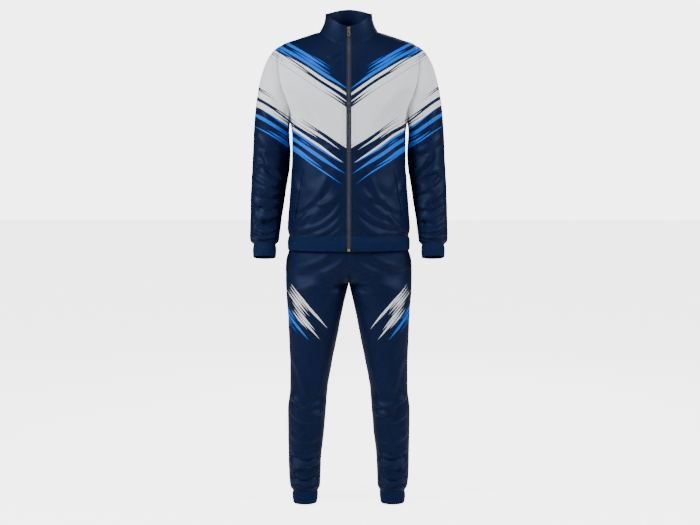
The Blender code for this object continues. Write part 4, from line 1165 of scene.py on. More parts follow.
@dataclass(frozen=True)
class Tailor:
    """Folds the cloth, dips it into its seams and gives it its thickness."""

    creases: Creases = Creases()
    groove_depth: float = 1.0
    groove_width: float = 4.5
    rib_share: float = 0.3
    keys_per_mm: float = 200.0
    key_strides: tuple = (997, 4_000_037)

    def fit(self, pieces: list[Cloth]) -> None:
        """Shape all pieces together, so that their seams meet.

        Args:
            pieces: the pieces of the whole suit.
        """
        self.share_normals(pieces)
        for piece in pieces:
            share = self.rib_share if piece.is_rib else 1.0
            piece.lift = self.creases.heights(piece.base, piece.normals) * share
        self.share_lifts(pieces)
        for piece in pieces:
            piece.outer = piece.base + piece.normals * (piece.lift + self.seam_relief(piece))[..., None]
        self.share_normals(pieces)
        for piece in pieces:
            piece.inner = piece.outer - piece.normals * piece.thick
            pull = self.seam_pull(piece)
            piece.outer = piece.outer + pull
            piece.inner = piece.inner + pull

    def keys(self, piece: Cloth) -> np.ndarray:
        """Make a key for each grid point, the same in pieces that share it.

        Args:
            piece: the cloth.

        Returns:
            One whole number for each point.
        """
        rounded = np.round(piece.base * self.keys_per_mm).astype(np.int64).reshape(-1, 3)
        across, along = self.key_strides
        return (rounded[:, 0] * across + rounded[:, 1]) * along + rounded[:, 2]

    def shared_mean(self, pieces: list[Cloth], fields: list[np.ndarray]) -> list[np.ndarray]:
        """Even out values where pieces meet.

        Args:
            pieces: the pieces.
            fields: values at each piece's grid points.

        Returns:
            The mean over all pieces that hold a point, one array for each piece.
        """
        keys = np.concatenate([self.keys(piece) for piece in pieces])
        values = np.concatenate([one.reshape(-1, one.shape[-1]) for one in fields])
        _, place = np.unique(keys, return_inverse=True)
        place = place.ravel()
        sums = np.zeros((place.max() + 1, values.shape[1]))
        np.add.at(sums, place, values)
        counts = np.bincount(place)[:, None]
        spread = (sums / counts)[place]
        results, start = [], 0
        for one in fields:
            count = one.shape[0] * one.shape[1]
            results.append(spread[start:start + count].reshape(one.shape))
            start += count
        return results

    def share_normals(self, pieces: list[Cloth]) -> None:
        """Give each grid point one normal, shared by the pieces that meet there.

        Args:
            pieces: the pieces.
        """
        totals = self.shared_mean(pieces, [piece.corner_sums() for piece in pieces])
        for piece, total in zip(pieces, totals):
            piece.normals = total / np.linalg.norm(total, axis=2, keepdims=True)

    def share_lifts(self, pieces: list[Cloth]) -> None:
        """Give each grid point one lift, shared by the pieces that meet there.

        Args:
            pieces: the pieces.
        """
        lifts = self.shared_mean(pieces, [piece.lift[..., None] for piece in pieces])
        for piece, lift in zip(pieces, lifts):
            piece.lift = lift[..., 0]

    def seam_relief(self, piece: Cloth) -> np.ndarray:
        """Dip the cloth into its seams.

        Args:
            piece: the cloth.

        Returns:
            Lifts in millimetres, which are below zero.
        """
        relief = np.zeros(piece.base.shape[:2])
        for edge in piece.seams:
            reach = piece.reach_from(edge, piece.base)
            turned = piece.edge_lines(edge, relief)
            turned -= self.groove_depth * np.exp(-((reach / self.groove_width) ** 2))
        return relief

    def seam_pull(self, piece: Cloth) -> np.ndarray:
        """Draw a piece back by half the seam gap at each edge that meets another.

        Args:
            piece: the cloth.

        Returns:
            Moves along the cloth, in millimetres.
        """
        pull = np.zeros_like(piece.outer)
        for edge in piece.seams:
            points = piece.edge_lines(edge, piece.outer)
            inward = points[1] - points[0]
            inward /= np.linalg.norm(inward, axis=1, keepdims=True)
            piece.edge_lines(edge, pull)[0] += inward * SEAM_GAP / 2
        return pull


class Socket:
    """A shader socket that Python's operators can work with."""

    def __init__(self, shading: "Shading", output: bpy.types.NodeSocket) -> None:
        """Wrap one output socket of a node tree."""
        self.shading = shading
        self.output = output

    def math(self, operation: str, *others: "Socket | float") -> "Socket":
        """This value worked with others in one Math node."""
        return self.shading.node("ShaderNodeMath", {"operation": operation}, (self, *others))

    def __add__(self, other: "Socket | float") -> "Socket":
        """Sum."""
        return self.math("ADD", other)

    __radd__ = __add__

    def __sub__(self, other: "Socket | float") -> "Socket":
        """Difference."""
        return self.math("SUBTRACT", other)

    def __rsub__(self, other: "Socket | float") -> "Socket":
        """Difference from a number."""
        return self.shading.node("ShaderNodeMath", {"operation": "SUBTRACT"}, (other, self))

    def __mul__(self, other: "Socket | float") -> "Socket":
        """Product."""
        return self.math("MULTIPLY", other)

    __rmul__ = __mul__

    def __truediv__(self, other: "Socket | float") -> "Socket":
        """Quotient."""
        return self.math("DIVIDE", other)

    def __abs__(self) -> "Socket":
        """Size without its sign."""
        return self.math("ABSOLUTE")

    def floor(self) -> "Socket":
        """Whole number below."""
        return self.math("FLOOR")

    def fraction(self) -> "Socket":
        """Part after the whole number below."""
        return self.math("FRACT")

    def at_least(self, other: "Socket | float") -> "Socket":
        """The larger of two values."""
        return self.math("MAXIMUM", other)

    def at_most(self, other: "Socket | float") -> "Socket":
        """The smaller of two values."""
        return self.math("MINIMUM", other)

    def clamped(self) -> "Socket":
        """The value kept from 0 to 1."""
        return self.at_least(0.0).at_most(1.0)

    def step(self, edge: float, softness: float) -> "Socket":
        """A soft step from 0 below the edge to 1 above it."""
        return ((self - edge) / softness + 0.5).clamped()


class Shading:
    """One material's node tree."""

    def __init__(self, name: str) -> None:
        """Start a material with an empty tree.

        Args:
            name: the material's name.
        """
        self.material = bpy.data.materials.new(name)
        self.material.use_nodes = True
        self.tree = self.material.node_tree
        self.tree.nodes.clear()
        self.out = self.tree.nodes.new("ShaderNodeOutputMaterial")

    def node(self, kind: str, settings: dict | None = None, values: dict | tuple = (),
             output: int | str = 0) -> Socket:
        """Add a node.

        Args:
            kind: the node's type.
            settings: its own settings, which are set first.
            values: numbers, colours or sockets, by place or by name.
            output: the output to return.

        Returns:
            The node's output.
        """
        made = self.tree.nodes.new(kind)
        for name, value in (settings or {}).items():
            setattr(made, name, value)
        pairs = values.items() if isinstance(values, dict) else enumerate(values)
        for name, value in pairs:
            if isinstance(value, Socket):
                self.tree.links.new(value.output, made.inputs[name])
            else:
                made.inputs[name].default_value = value
        return Socket(self, made.outputs[output])

    def place(self) -> tuple[Socket, Socket, Socket]:
        """The point's X, Y and Z in the object's frame, in metres."""
        spot = self.node("ShaderNodeTexCoord", output="Object")
        return tuple(self.node("ShaderNodeSeparateXYZ", None, (spot,), axis) for axis in "XYZ")

    def cloth_place(self) -> tuple[Socket, Socket]:
        """How far the point lies round and down the piece, in metres."""
        spot = self.node("ShaderNodeUVMap", {"uv_map": "cloth"})
        return tuple(self.node("ShaderNodeSeparateXYZ", None, (spot,), axis) for axis in "XY")

    def vector(self, x: Socket, y: Socket, z: Socket) -> Socket:
        """A vector of three values."""
        return self.node("ShaderNodeCombineXYZ", None, (x, y, z))

    def noise(self, place: Socket, scale: float, detail: float = 3.0) -> Socket:
        """Soft noise about one half."""
        return self.node("ShaderNodeTexNoise", None, {"Vector": place, "Scale": scale, "Detail": detail}, "Fac")

    def hashed(self, number: Socket) -> Socket:
        """A fixed value from 0 to 1 for each whole number."""
        return self.node("ShaderNodeTexWhiteNoise", {"noise_dimensions": "1D"}, {"W": number}, "Value")

    def mixed(self, share: Socket, first: Socket | tuple, last: Socket | tuple) -> Socket:
        """A colour a share of the way from the first to the last."""
        return self.node("ShaderNodeMix", {"data_type": "RGBA"}, {0: share, 6: first, 7: last}, 2)

    def surface(self, constants: dict, varied: dict, height: Socket | None = None, bump: float = 0.3,
                distance: float = 0.001) -> bpy.types.Material:
        """Finish the material.

        Args:
            constants: values of the shader's sockets that are the same all over.
            varied: sockets that change over the surface.
            height: relief for the bump.
            bump: strength of the bump.
            distance: height of the relief in metres.

        Returns:
            The material.
        """
        shader = self.tree.nodes.new("ShaderNodeBsdfPrincipled")
        for name, value in constants.items():
            shader.inputs[name].default_value = value
        for name, value in varied.items():
            self.tree.links.new(value.output, shader.inputs[name])
        if height is not None:
            values = {"Strength": bump, "Distance": distance, "Height": height}
            relief = self.node("ShaderNodeBump", None, values)
            self.tree.links.new(relief.output, shader.inputs["Normal"])
        self.tree.links.new(shader.outputs[0], self.out.inputs[0])
        return self.material


@dataclass(frozen=True)
class Shards:
    """A run of tapered shards side by side: its direction, its extent and its strips, in metres.

    The run slants by an angle in degrees, outwards and up on both sides of the middle. Each strip starts and
    ends at its own fixed place, and comes to a point.
    """

    angle: float
    low: float
    high: float
    start: float
    end: float
    pitch: float
    ragged: float
    taper: float
    seed: float
    fullness: float = 0.56
    edge: float = 0.0004

    def mask(self, shading: Shading, x: Socket, z: Socket) -> Socket:
        """Where the shards lie.

        Args:
            shading: the material's tree.
            x: distance from the middle.
            z: height.

        Returns:
            1 on a shard and 0 off it.
        """
        turn = math.radians(self.angle)
        along = x * math.cos(turn) + z * math.sin(turn)
        across = z * math.cos(turn) - x * math.sin(turn)
        strip = (across / self.pitch).floor()
        middle = abs((across / self.pitch).fraction() - 0.5)
        first = shading.hashed(strip + self.seed) * self.ragged + self.start
        last = self.end - shading.hashed(strip + self.seed + 31.7) * self.ragged
        to_end = (along - first).at_most(last - along) / self.taper
        width = to_end.clamped() * self.fullness
        inside = (width - middle).step(0.02, 0.03)
        above, below = (across - self.low).step(0.0, self.edge), (self.high - across).step(0.0, self.edge)
        return inside * above * below


CLOTH_SHEEN = (0.38, 0.52, 0.95, 1.0)


@dataclass(frozen=True)
class ShellFinish:
    """Smooth polyester tricot in navy, with a printed pattern of white and royal blue shards."""

    navy: tuple = (0.0015, 0.0050, 0.025, 1.0)
    navy_light: tuple = (0.0023, 0.0070, 0.034, 1.0)
    white: tuple = (0.80, 0.81, 0.84, 1.0)
    blue: tuple = (0.004, 0.13, 0.68, 1.0)
    wale: float = 0.0011
    course: float = 0.00143
    mottle_scale: float = 14.0
    grain_scale: float = 900.0
    sway_scale: float = 6.0
    sway_size: float = 0.016
    fray_scale: float = 170.0
    fray_size: float = 0.0022
    roughness: float = 0.54
    blue_below: Shards = Shards(34.0, -0.404, -0.350, -0.28, 0.19, 0.0108, 0.26, 0.08, 23.0, 0.50)
    blue_above: Shards = Shards(34.0, -0.176, -0.134, -0.12, 0.27, 0.0098, 0.24, 0.08, 37.0, 0.48)
    white_below: Shards = Shards(34.0, -0.350, -0.288, -0.27, 0.24, 0.0088, 0.26, 0.10, 11.0, 0.60)
    white_core: Shards = Shards(34.0, -0.300, -0.206, -0.40, 0.32, 0.0106, 0.14, 0.10, 3.0, 1.2)
    white_above: Shards = Shards(34.0, -0.214, -0.172, -0.17, 0.30, 0.0082, 0.24, 0.10, 5.0, 0.60)
    thigh_blue: Shards = Shards(50.0, -0.716, -0.688, -0.650, -0.45, 0.0084, 0.09, 0.05, 67.0, 0.5)
    thigh_white: Shards = Shards(50.0, -0.688, -0.632, -0.680, -0.45, 0.0078, 0.11, 0.07, 53.0, 0.6)

    def material(self) -> bpy.types.Material:
        """Make the finish a material.

        Returns:
            The material.
        """
        shading = Shading("shell_tricot_printed")
        x, y, z = shading.place()
        u, v = shading.cloth_place()
        spot = shading.vector(x, y, z)
        mottle = shading.noise(spot, self.mottle_scale)
        colour = shading.mixed(mottle.step(0.5, 0.6), self.navy, self.navy_light)
        sway = (shading.noise(spot, self.sway_scale, 1.0) - 0.5) * self.sway_size
        fray = (shading.noise(spot, self.fray_scale, 2.0) - 0.5) * self.fray_size
        across, up = abs(x) + fray, z + sway + fray
        for shards in (self.blue_below, self.blue_above, self.thigh_blue):
            colour = shading.mixed(shards.mask(shading, across, up), colour, self.blue)
        for shards in (self.white_below, self.white_core, self.white_above, self.thigh_white):
            colour = shading.mixed(shards.mask(shading, across, up), colour, self.white)
        wales = (u / self.wale).fraction() - 0.5
        courses = (v / self.course).fraction() - 0.5
        knit = abs(wales) + abs(courses) * 0.6
        grain = shading.noise(spot, self.grain_scale, 2.0)
        height = knit * 0.5 + grain * 0.5
        rough = self.roughness + (mottle - 0.5) * 0.08
        constants = {"Specular IOR Level": 0.24, "Specular Tint": CLOTH_SHEEN}
        return shading.surface(constants, {"Base Color": colour, "Roughness": rough}, height, 0.25, 0.0003)


@dataclass(frozen=True)
class RibFinish:
    """Rib knit in navy, with painted light and shade in stripes that follow the ribs' relief: darker on the rib
    tops, lighter in the furrows.
    """

    navy: tuple = (0.0018, 0.0060, 0.028, 1.0)
    # The lighter navy of the painted light in the furrows between the ribs.
    light: tuple = (0.0046, 0.0135, 0.056, 1.0)
    pitch: float = 0.0024
    loop: float = 0.0016
    grain_scale: float = 700.0

    def material(self) -> bpy.types.Material:
        """Make the finish a material.

        Returns:
            The material.
        """
        shading = Shading("rib_knit")
        u, v = shading.cloth_place()
        spot = shading.vector(*shading.place())
        rib = abs((u / self.pitch).fraction() - 0.5) * 2.0
        loops = abs((v / self.loop).fraction() - 0.5) * 0.5
        grain = shading.noise(spot, self.grain_scale, 2.0)
        # Painted light and shade: the colour runs from navy on the rib tops to a lighter navy in the furrows,
        # following the knit's relief.
        colour = shading.mixed(rib, self.navy, self.light)
        height = 1.0 - rib * rib + loops * 0.3 + grain * 0.2
        constants = {"Roughness": 0.7, "Specular IOR Level": 0.16, "Specular Tint": CLOTH_SHEEN}
        return shading.surface(constants, {"Base Color": colour}, height, 0.5, 0.0006)


@dataclass(frozen=True)
class TapeFinish:
    """Woven zip tape, with a painted highlight on the raised crossings of its weave."""

    colour: tuple = (0.010, 0.016, 0.042, 1.0)
    # The colour of the painted highlight on the weave's raised crossings.
    light: tuple = (0.022, 0.030, 0.062, 1.0)
    rib: float = 0.0012
    thread: float = 0.0007

    def material(self) -> bpy.types.Material:
        """Make the finish a material.

        Returns:
            The material.
        """
        shading = Shading("zip_tape_weave")
        x, _, z = shading.place()
        ribs = abs((z / self.rib).fraction() - 0.5) * 2.0
        threads = abs((x / self.thread).fraction() - 0.5) * 2.0
        # Painted highlight: the weave's raised crossings are painted lighter than the rest of the tape.
        colour = shading.mixed(ribs * threads, self.colour, self.light)
        height = ribs + threads * 0.5
        return shading.surface({"Roughness": 0.75}, {"Base Color": colour}, height, 0.5, 0.0003)


@dataclass(frozen=True)
class PlasticFinish:
    """Moulded coil teeth, with a slight gloss."""

    colour: tuple = (0.020, 0.024, 0.034, 1.0)
    light: tuple = (0.05, 0.055, 0.07, 1.0)
    wear_scale: float = 400.0

    def material(self) -> bpy.types.Material:
        """Make the finish a material.

        Returns:
            The material.
        """
        shading = Shading("coil_plastic")
        spot = shading.vector(*shading.place())
        wear = shading.noise(spot, self.wear_scale, 2.0)
        colour = shading.mixed(wear.step(0.6, 0.3), self.colour, self.light)
        varied = {"Base Color": colour, "Roughness": 0.3 + wear * 0.2}
        return shading.surface({"Specular IOR Level": 0.6}, varied)


@dataclass(frozen=True)
class MetalFinish:
    """Cast zip metal, with a patina of darker and brighter patches that lie at random."""

    name: str = "antique_nickel"
    dark: tuple = (0.20, 0.18, 0.15, 1.0)
    bright: tuple = (0.55, 0.50, 0.43, 1.0)
    patina_scale: float = 260.0

    def material(self) -> bpy.types.Material:
        """Make the finish a material.

        Returns:
            The material.
        """
        shading = Shading(self.name)
        spot = shading.vector(*shading.place())
        patina = shading.noise(spot, self.patina_scale, 4.0)
        colour = shading.mixed(patina.step(0.5, 0.3), self.dark, self.bright)
        varied = {"Base Color": colour, "Roughness": 0.24 + patina * 0.28}
        return shading.surface({"Metallic": 1.0}, varied, patina, 0.1, 0.0002)


@dataclass(frozen=True)
class ThreadFinish:
    """Sewing thread in navy."""

    colour: tuple = (0.0040, 0.012, 0.050, 1.0)
    light: tuple = (0.010, 0.024, 0.085, 1.0)
    twist_scale: float = 1500.0

    def material(self) -> bpy.types.Material:
        """Make the finish a material.

        Returns:
            The material.
        """
        shading = Shading("sewing_thread")
        spot = shading.vector(*shading.place())
        twist = shading.noise(spot, self.twist_scale, 1.0)
        colour = shading.mixed(twist, self.colour, self.light)
        return shading.surface({"Roughness": 0.6, "Specular IOR Level": 0.3}, {"Base Color": colour})


class Beads:
    """A Geometry Nodes tree that sets small rounded beads along lines, such as stitches or coil teeth."""

    SIZES = ("Pitch", "Length", "Width", "Height")
    SEGMENTS = 6
    RINGS = 4

    def __init__(self) -> None:
        """Build the tree once for all the lines."""
        self.tree = bpy.data.node_groups.new("beads_along_lines", "GeometryNodeTree")
        face = self.tree.interface
        face.new_socket("Geometry", in_out="INPUT", socket_type="NodeSocketGeometry")
        for name in self.SIZES:
            face.new_socket(name, in_out="INPUT", socket_type="NodeSocketFloat")
        face.new_socket("Finish", in_out="INPUT", socket_type="NodeSocketMaterial")
        face.new_socket("Geometry", in_out="OUTPUT", socket_type="NodeSocketGeometry")
        nodes = self.tree.nodes
        start, end = nodes.new("NodeGroupInput"), nodes.new("NodeGroupOutput")
        curve = nodes.new("GeometryNodeMeshToCurve")
        even = nodes.new("GeometryNodeResampleCurve")
        even.mode = "LENGTH"
        bead = nodes.new("GeometryNodeMeshUVSphere")
        for name, value in (("Segments", self.SEGMENTS), ("Rings", self.RINGS), ("Radius", 0.5)):
            bead.inputs[name].default_value = value
        tangent = nodes.new("GeometryNodeInputTangent")
        turn = nodes.new("FunctionNodeAlignRotationToVector")
        turn.axis = "Z"
        size = nodes.new("ShaderNodeCombineXYZ")
        place = nodes.new("GeometryNodeInstanceOnPoints")
        real = nodes.new("GeometryNodeRealizeInstances")
        dress = nodes.new("GeometryNodeSetMaterial")
        smooth = nodes.new("GeometryNodeSetShadeSmooth")
        for source, output, target, entry in (
            (start, "Geometry", curve, "Mesh"),
            (curve, "Curve", even, "Curve"),
            (start, "Pitch", even, "Length"),
            (even, "Curve", place, "Points"),
            (bead, "Mesh", place, "Instance"),
            (tangent, "Tangent", turn, "Vector"),
            (turn, "Rotation", place, "Rotation"),
            (start, "Width", size, "X"),
            (start, "Height", size, "Y"),
            (start, "Length", size, "Z"),
            (size, "Vector", place, "Scale"),
            (place, "Instances", real, "Geometry"),
            (real, "Geometry", smooth, "Geometry"),
            (smooth, "Geometry", dress, "Geometry"),
            (start, "Finish", dress, "Material"),
            (dress, "Geometry", end, "Geometry"),
        ):
            self.tree.links.new(source.outputs[output], target.inputs[entry])

    def along(self, name: str, lines: list[np.ndarray], size: tuple, pitch: float,
              finish: bpy.types.Material) -> bpy.types.Object:
        """Set beads along lines and make them one plain mesh.

        Args:
            name: the piece's name.
            lines: runs of points in millimetres.
            size: a bead's width, height and length in millimetres.
            pitch: distance from bead to bead in millimetres.
            finish: the beads' material.

        Returns:
            The piece.
        """
        points, edges = [], []
        for line in lines:
            first = len(points)
            points += (np.asarray(line) * MM).tolist()
            edges += [(first + i, first + i + 1) for i in range(len(line) - 1)]
        mesh = bpy.data.meshes.new(name)
        mesh.from_pydata(points, edges, [])
        piece = bpy.data.objects.new(name, mesh)
        bpy.context.scene.collection.objects.link(piece)
        modifier = piece.modifiers.new("Beads", "NODES")
        modifier.node_group = self.tree
        width, height, length = size
        values = {name: value * MM for name, value in zip(self.SIZES, (pitch, length, width, height))}
        values["Finish"] = finish
        for item in self.tree.interface.items_tree:
            if item.item_type == "SOCKET" and item.in_out == "INPUT" and item.name in values:
                modifier[item.identifier] = values[item.name]
        piece.update_tag()
        solid = bpy.data.meshes.new_from_object(piece.evaluated_get(bpy.context.evaluated_depsgraph_get()))
        piece.modifiers.clear()
        piece.data = solid
        return piece


def hand_over(piece: bpy.types.Object, body: Body, nodes: tuple = ()) -> None:
    """Let a piece ride on its body and stand for its nodes.

    Args:
        piece: the finished piece.
        body: the body that it moves with.
        nodes: the CAD nodes that it replaces.
    """
    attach(piece, body.value)
    if nodes:
        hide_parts(*nodes)
    log.info("%s rides on %s, %d faces", piece.name, body.value, len(piece.data.polygons))


@dataclass(frozen=True)
class Welt:
    """A slanted pocket welt, which lies on its front and follows its folds."""

    top: tuple = (143.0, -428.0)
    bottom: tuple = (168.0, -572.0)
    width: float = 13.0
    low: float = 0.75
    thick: float = 1.3
    swell: float = 0.7
    inside: tuple = (60.0, 0.0, -300.0)
    rows: int = 60
    columns: int = 8

    def cut(self, front: Cloth, side: Side) -> Cloth:
        """Lay one welt.

        Args:
            front: the fitted front that carries it.
            side: the side that it lies on.

        Returns:
            The welt as fitted cloth.
        """
        flip = np.array([side.value, 1.0])
        start, end = np.array(self.top) * flip, np.array(self.bottom) * flip
        run = (end - start) / np.linalg.norm(end - start)
        aside = np.array([-run[1], run[0]]) * self.width
        points, normals = [], []
        for down in np.linspace(0, 1, self.rows + 1):
            middle = blend(start, end, down)
            row = [
                front.surface_at(*(middle + aside * over))
                for over in np.linspace(-0.5, 0.5, self.columns + 1)
            ]
            points.append([point for point, _ in row])
            normals.append([normal for _, normal in row])
        welt = Cloth(side.of("pocket_welt"), np.array(points), side.place(self.inside), thick=self.thick)
        welt.normals = np.array(normals)
        over = np.linspace(-1, 1, self.columns + 1)[None, :, None]
        welt.inner = welt.base + welt.normals * self.low
        welt.outer = welt.inner + welt.normals * (self.thick + self.swell * (1 - over**4))
        return welt


@dataclass
class Suit:
    """The cloth of the whole suit, fitted together and then handed over piece by piece."""

    jacket: JacketForm = field(default_factory=JacketForm)
    trousers: TrouserForm = field(default_factory=TrouserForm)
    tailor: Tailor = field(default_factory=Tailor)
    welt: Welt = field(default_factory=Welt)
    cloths: dict[str, Cloth] = field(default_factory=dict)

    def cut(self) -> None:
        """Make the grids of all pieces."""
        every, top, bottom = tuple(Edge), (Edge.TOP,), (Edge.BOTTOM,)
        torso, front_inside, yoke_inside = (0.0, 0.0, -300.0), (60.0, 0.0, -300.0), (130.0, 0.0, -300.0)
        leg_inside = (110.0, 0.0, -1000.0)
        form, trousers = self.jacket, self.trousers
        front, yoke, sleeve, cuff = form.front(), form.yoke(), form.sleeve_tube(), form.cuff_tube()
        leg_front, leg_back, ankle = trousers.panel(True), trousers.panel(False), trousers.ankle_tube()
        tube_of_rib = {"closed": True, "thick": RIB_THICK, "is_rib": True}
        pieces = [
            Cloth("jacket_back", form.back(), torso, every),
            Cloth("collar", form.collar(), (0.0, 0.0, 0.0), bottom, thick=RIB_THICK),
            Cloth("hem_band", form.hem_band(), (0.0, 0.0, -650.0), top, thick=RIB_THICK, is_rib=True),
            Cloth("waistband", trousers.waist_tube(), torso, bottom, **tube_of_rib),
        ]
        for side in Side:
            place = side.place
            pieces += [
                Cloth(side.of("front"), place(front), place(front_inside), (Edge.TOP, Edge.END, Edge.BOTTOM)),
                Cloth(side.of("yoke"), place(yoke), place(yoke_inside), every),
                Cloth(side.of("sleeve"), place(sleeve), torso, top + bottom, closed=True),
                Cloth(side.of("cuff"), place(cuff), torso, top, **tube_of_rib),
                Cloth(side.of("leg_front"), place(leg_front), place(leg_inside), every),
                Cloth(side.of("leg_back"), place(leg_back), place(leg_inside), every),
                Cloth(side.of("ankle_cuff"), place(ankle), torso, top, **tube_of_rib),
            ]
        self.tailor.fit(pieces)
        self.cloths = {piece.name: piece for piece in pieces}
        for side in Side:
            welt = self.welt.cut(self.cloths[side.of("front")], side)
            self.cloths[welt.name] = welt

    def dress(self, shell: bpy.types.Material, rib: bpy.types.Material) -> None:
        """Args:
            shell: finish of the smooth cloth.
            rib: finish of the rib knit.
        """
        for name, cloth in self.cloths.items():
            piece = cloth.object(rib if cloth.is_rib else shell)
            hand_over(piece, Body.SUIT, (name,))
            self.declare(cloth)

    def declare(self, cloth: Cloth) -> None:
        """State the flat cut of a piece, which is its laid-out size and area.

        Args:
            cloth: the cloth as it was cut.
        """
        across = np.linalg.norm(np.diff(cloth.base, axis=1), axis=2).sum(axis=1)
        if cloth.closed:
            across = across + np.linalg.norm(cloth.base[:, 0] - cloth.base[:, -1], axis=1)
        down = np.linalg.norm(np.diff(cloth.base, axis=0), axis=2).sum(axis=0)
        width, length = float(across.max()) * MM, float(down.max()) * MM
        area = min(cloth.area, width * length)
        log.info("%s is cut from %.3f x %.3f m, %.4f m2", cloth.name, width, length, area)


@dataclass(frozen=True)
class Stitching:
    """The rows of stitches that hold the pieces together and flatten their seams."""

    beads: Beads
    finish: bpy.types.Material
    pitch: float = 3.0
    size: tuple = (0.55, 0.5, 2.3)
    lift: float = 0.12
    near: float = 2.2
    far: float = 7.0
    collar_top: float = 4.0
    zip_edges: tuple = (9.5, 2.0)
    welt_sides: float = 1.3
    welt_ends: tuple = (1.5, 4.0)

    def rows(self, cloth: Cloth, edges: tuple[Edge, ...], *distances: float) -> list[np.ndarray]:
        """Lay rows of stitches beside a piece's edges, each closed on itself where the piece is a tube.

        Args:
            cloth: the piece.
            edges: the edges to follow.
            distances: how far in from each of them.

        Returns:
            One line of points for each row.
        """
        lines = [cloth.line_beside(edge, distance, self.lift) for distance in distances for edge in edges]
        return [np.concatenate([line, line[:1]]) if cloth.closed else line for line in lines]

    def sew(self, suit: Suit) -> None:
        """Make one piece of stitches for the jacket and one for the trousers.

        Args:
            suit: the fitted suit.
        """
        cloths = suit.cloths
        top, bottom, start, end = ((edge,) for edge in Edge)
        jacket = self.rows(cloths["collar"], bottom, self.near, self.far)
        jacket += self.rows(cloths["collar"], top, self.collar_top)
        jacket += self.rows(cloths["hem_band"], top, self.near)
        trousers = []
        for side in Side:
            front, welt = cloths[side.of("front")], cloths[side.of("pocket_welt")]
            jacket += self.rows(front, start, *self.zip_edges) + self.rows(front, bottom, self.near)
            jacket += self.rows(cloths[side.of("yoke")], start + end, self.near)
            jacket += self.rows(cloths[side.of("cuff")], top, self.near)
            jacket += self.rows(welt, start + end, self.welt_sides)
            jacket += self.rows(welt, top + bottom, *self.welt_ends)
            jacket += self.rows(cloths[side.of("sleeve")], top, self.near)
            trousers += self.rows(cloths[side.of("ankle_cuff")], top, self.near)
            trousers += self.rows(cloths[side.of("leg_front")], end + start, self.near)
            trousers += self.rows(cloths[side.of("leg_back")], start, self.near)
        jacket += self.rows(cloths["collar"], start + end, self.zip_edges[1])
        for name, lines in (("jacket_stitches", jacket), ("trouser_stitches", trousers)):
            piece = self.beads.along(name, lines, self.size, self.pitch, self.finish)
            hand_over(piece, Body.SUIT)


@dataclass(frozen=True)
class Zip:
    """The zip: coil teeth over the chain, and the finishes of its tapes and metal."""

    beads: Beads
    pitch: float = 1.5
    tooth: tuple = (2.9, 1.9, 1.25)
    row_offset: float = 1.45
    seat: float = 0.25
    level_step: float = 4.0
    level_slack: float = 0.3

    def chain_line(self) -> np.ndarray:
        """Follow the middle of the chain's front face down its node.

        Returns:
            Points in millimetres.
        """
        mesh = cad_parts["zip_chain"].data
        points = np.array([vertex.co[:] for vertex in mesh.vertices]) / MM
        rows = []
        for level in np.unique(np.round(points[:, 2], 1))[::-1]:
            if not rows or rows[-1][2] - level >= self.level_step:
                near = points[np.abs(points[:, 2] - level) < self.level_slack]
                rows.append([0.0, near[:, 1].min(), level])
        return np.array(rows)

    def build(self, coil: bpy.types.Material, tape: bpy.types.Material, metal: bpy.types.Material,
              brass: bpy.types.Material) -> None:
        """Dress the nodes of the zip and lay the teeth.

        Args:
            coil: the teeth's finish.
            tape: the tapes' finish.
            metal: the slider's and pull tab's finish.
            brass: the box's finish.
        """
        line = self.chain_line()
        depth = np.array([0.0, self.tooth[1] * self.seat, 0.0])
        lines = []
        for sign in (-1, 1):
            shift = np.array([sign * self.row_offset, 0.0, -self.pitch / 2 if sign > 0 else 0.0])
            lines.append(line + depth + shift)
        teeth = self.beads.along("zip_teeth", lines, self.tooth, self.pitch, coil)
        hand_over(teeth, Body.SUIT)
        for name, finish in (
            ("zip_chain", coil),
            ("zip_tape_left", tape),
            ("zip_tape_right", tape),
            ("zip_slider", metal),
            ("zip_pull_tab", metal),
            ("zip_box", brass),
        ):
            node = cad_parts[name]
            node.data.materials.clear()
            node.data.materials.append(finish)


class Lamp(NamedTuple):
    """A soft square or oblong light: its place and target in metres, and its power in watts."""

    name: str
    place: tuple
    target: tuple
    width: float
    height: float
    power: float


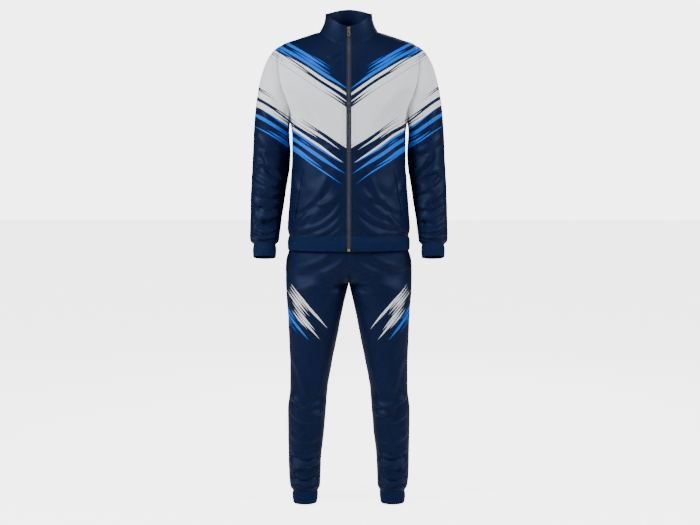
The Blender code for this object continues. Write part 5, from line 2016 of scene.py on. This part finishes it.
@dataclass(frozen=True)
class Studio:
    """A plain white floor, soft light and the camera at the photograph's angle."""

    camera_place: tuple = (0.0037, -3.6, -0.4743)
    camera_pitch: float = 86.182
    lens: float = 59.72
    sensor: float = 36.0
    floor_size: float = 30.0
    floor_drop: float = 0.004
    air_light: float = 0.05
    air_seen: float = 5.0
    floor_glow: float = 4.0
    lamps: tuple = (
        Lamp("key", (-2.1, -1.5, 0.6), (0.0, 0.0, -0.5), 0.8, 0.8, 92.0),
        Lamp("side", (2.2, -1.1, 0.6), (0.0, 0.0, -0.6), 0.8, 1.0, 64.0),
        Lamp("top", (0.0, -1.0, 2.3), (0.0, 0.0, -0.9), 1.4, 0.6, 12.0),
        Lamp("low_fill", (-0.4, -3.0, -0.7), (0.0, 0.0, -1.0), 1.2, 0.8, 4.0),
        Lamp("back", (0.7, 2.5, 0.7), (0.0, 0.0, -0.6), 1.4, 1.4, 40.0),
    )

    def build(self) -> None:
        """Lay the floor, set the lights and place the camera."""
        self.lay_floor()
        for lamp in self.lamps:
            self.light(lamp)
        self.fill_air()
        camera = bpy.data.cameras.new("camera")
        camera.lens = self.lens
        camera.sensor_width = self.sensor
        seat = bpy.data.objects.new("camera", camera)
        seat.location = self.camera_place
        seat.rotation_euler = (math.radians(self.camera_pitch), 0.0, 0.0)
        bpy.context.scene.collection.objects.link(seat)
        bpy.context.scene.camera = seat

    def fill_air(self) -> None:
        """Light the room faintly from all sides, in front of a bright plain wall."""
        world = bpy.data.worlds.new("studio_air")
        world.use_nodes = True
        nodes, links = world.node_tree.nodes, world.node_tree.links
        light = nodes["Background"]
        light.inputs["Strength"].default_value = self.air_light
        seen = nodes.new("ShaderNodeBackground")
        seen.inputs["Strength"].default_value = self.air_seen
        for shader in (light, seen):
            shader.inputs["Color"].default_value = (1.0, 1.0, 1.0, 1.0)
        choice = nodes.new("ShaderNodeMixShader")
        links.new(nodes.new("ShaderNodeLightPath").outputs["Is Camera Ray"], choice.inputs[0])
        links.new(light.outputs[0], choice.inputs[1])
        links.new(seen.outputs[0], choice.inputs[2])
        links.new(choice.outputs[0], nodes["World Output"].inputs["Surface"])
        bpy.context.scene.world = world

    def lay_floor(self) -> None:
        """Lay a wide white floor just below the ankle cuffs."""
        shape = bmesh.new()
        bmesh.ops.create_grid(shape, x_segments=1, y_segments=1, size=self.floor_size)
        mesh = bpy.data.meshes.new("floor")
        shape.to_mesh(mesh)
        shape.free()
        mesh.transform(Matrix.Translation((0, 0, CAD_BOUNDS[0][2] - self.floor_drop)))
        shading = Shading("floor_white")
        glow = shading.node("ShaderNodeLightPath", output="Is Camera Ray")
        constants = {"Base Color": (0.9, 0.9, 0.9, 1.0), "Roughness": 0.9, "Emission Strength": self.floor_glow}
        mesh.materials.append(shading.surface(constants, {"Emission Color": glow}))
        floor = bpy.data.objects.new("floor", mesh)
        bpy.context.scene.collection.objects.link(floor)

    def light(self, lamp: Lamp) -> None:
        """Hang one lamp, which faces its target.

        Args:
            lamp: the lamp.
        """
        data = bpy.data.lights.new(lamp.name, "AREA")
        data.shape = "RECTANGLE"
        data.size = lamp.width
        data.size_y = lamp.height
        data.energy = lamp.power
        held = bpy.data.objects.new(lamp.name, data)
        held.location = lamp.place
        aim = Vector(lamp.target) - Vector(lamp.place)
        held.rotation_euler = aim.to_track_quat("-Z", "Y").to_euler()
        bpy.context.scene.collection.objects.link(held)


def main() -> None:
    """Build the suit's pieces in order."""
    logging.basicConfig(level=logging.INFO, format="%(name)s: %(message)s")
    Studio().build()
    suit = Suit()
    suit.cut()
    suit.dress(ShellFinish().material(), RibFinish().material())
    beads = Beads()
    Stitching(beads, ThreadFinish().material()).sew(suit)
    metal = MetalFinish()
    brass = MetalFinish("dull_brass", (0.32, 0.22, 0.09, 1.0), (0.62, 0.46, 0.22, 1.0))
    Zip(beads).build(PlasticFinish().material(), TapeFinish().material(), metal.material(), brass.material())


if __name__ == "__main__":
    main()
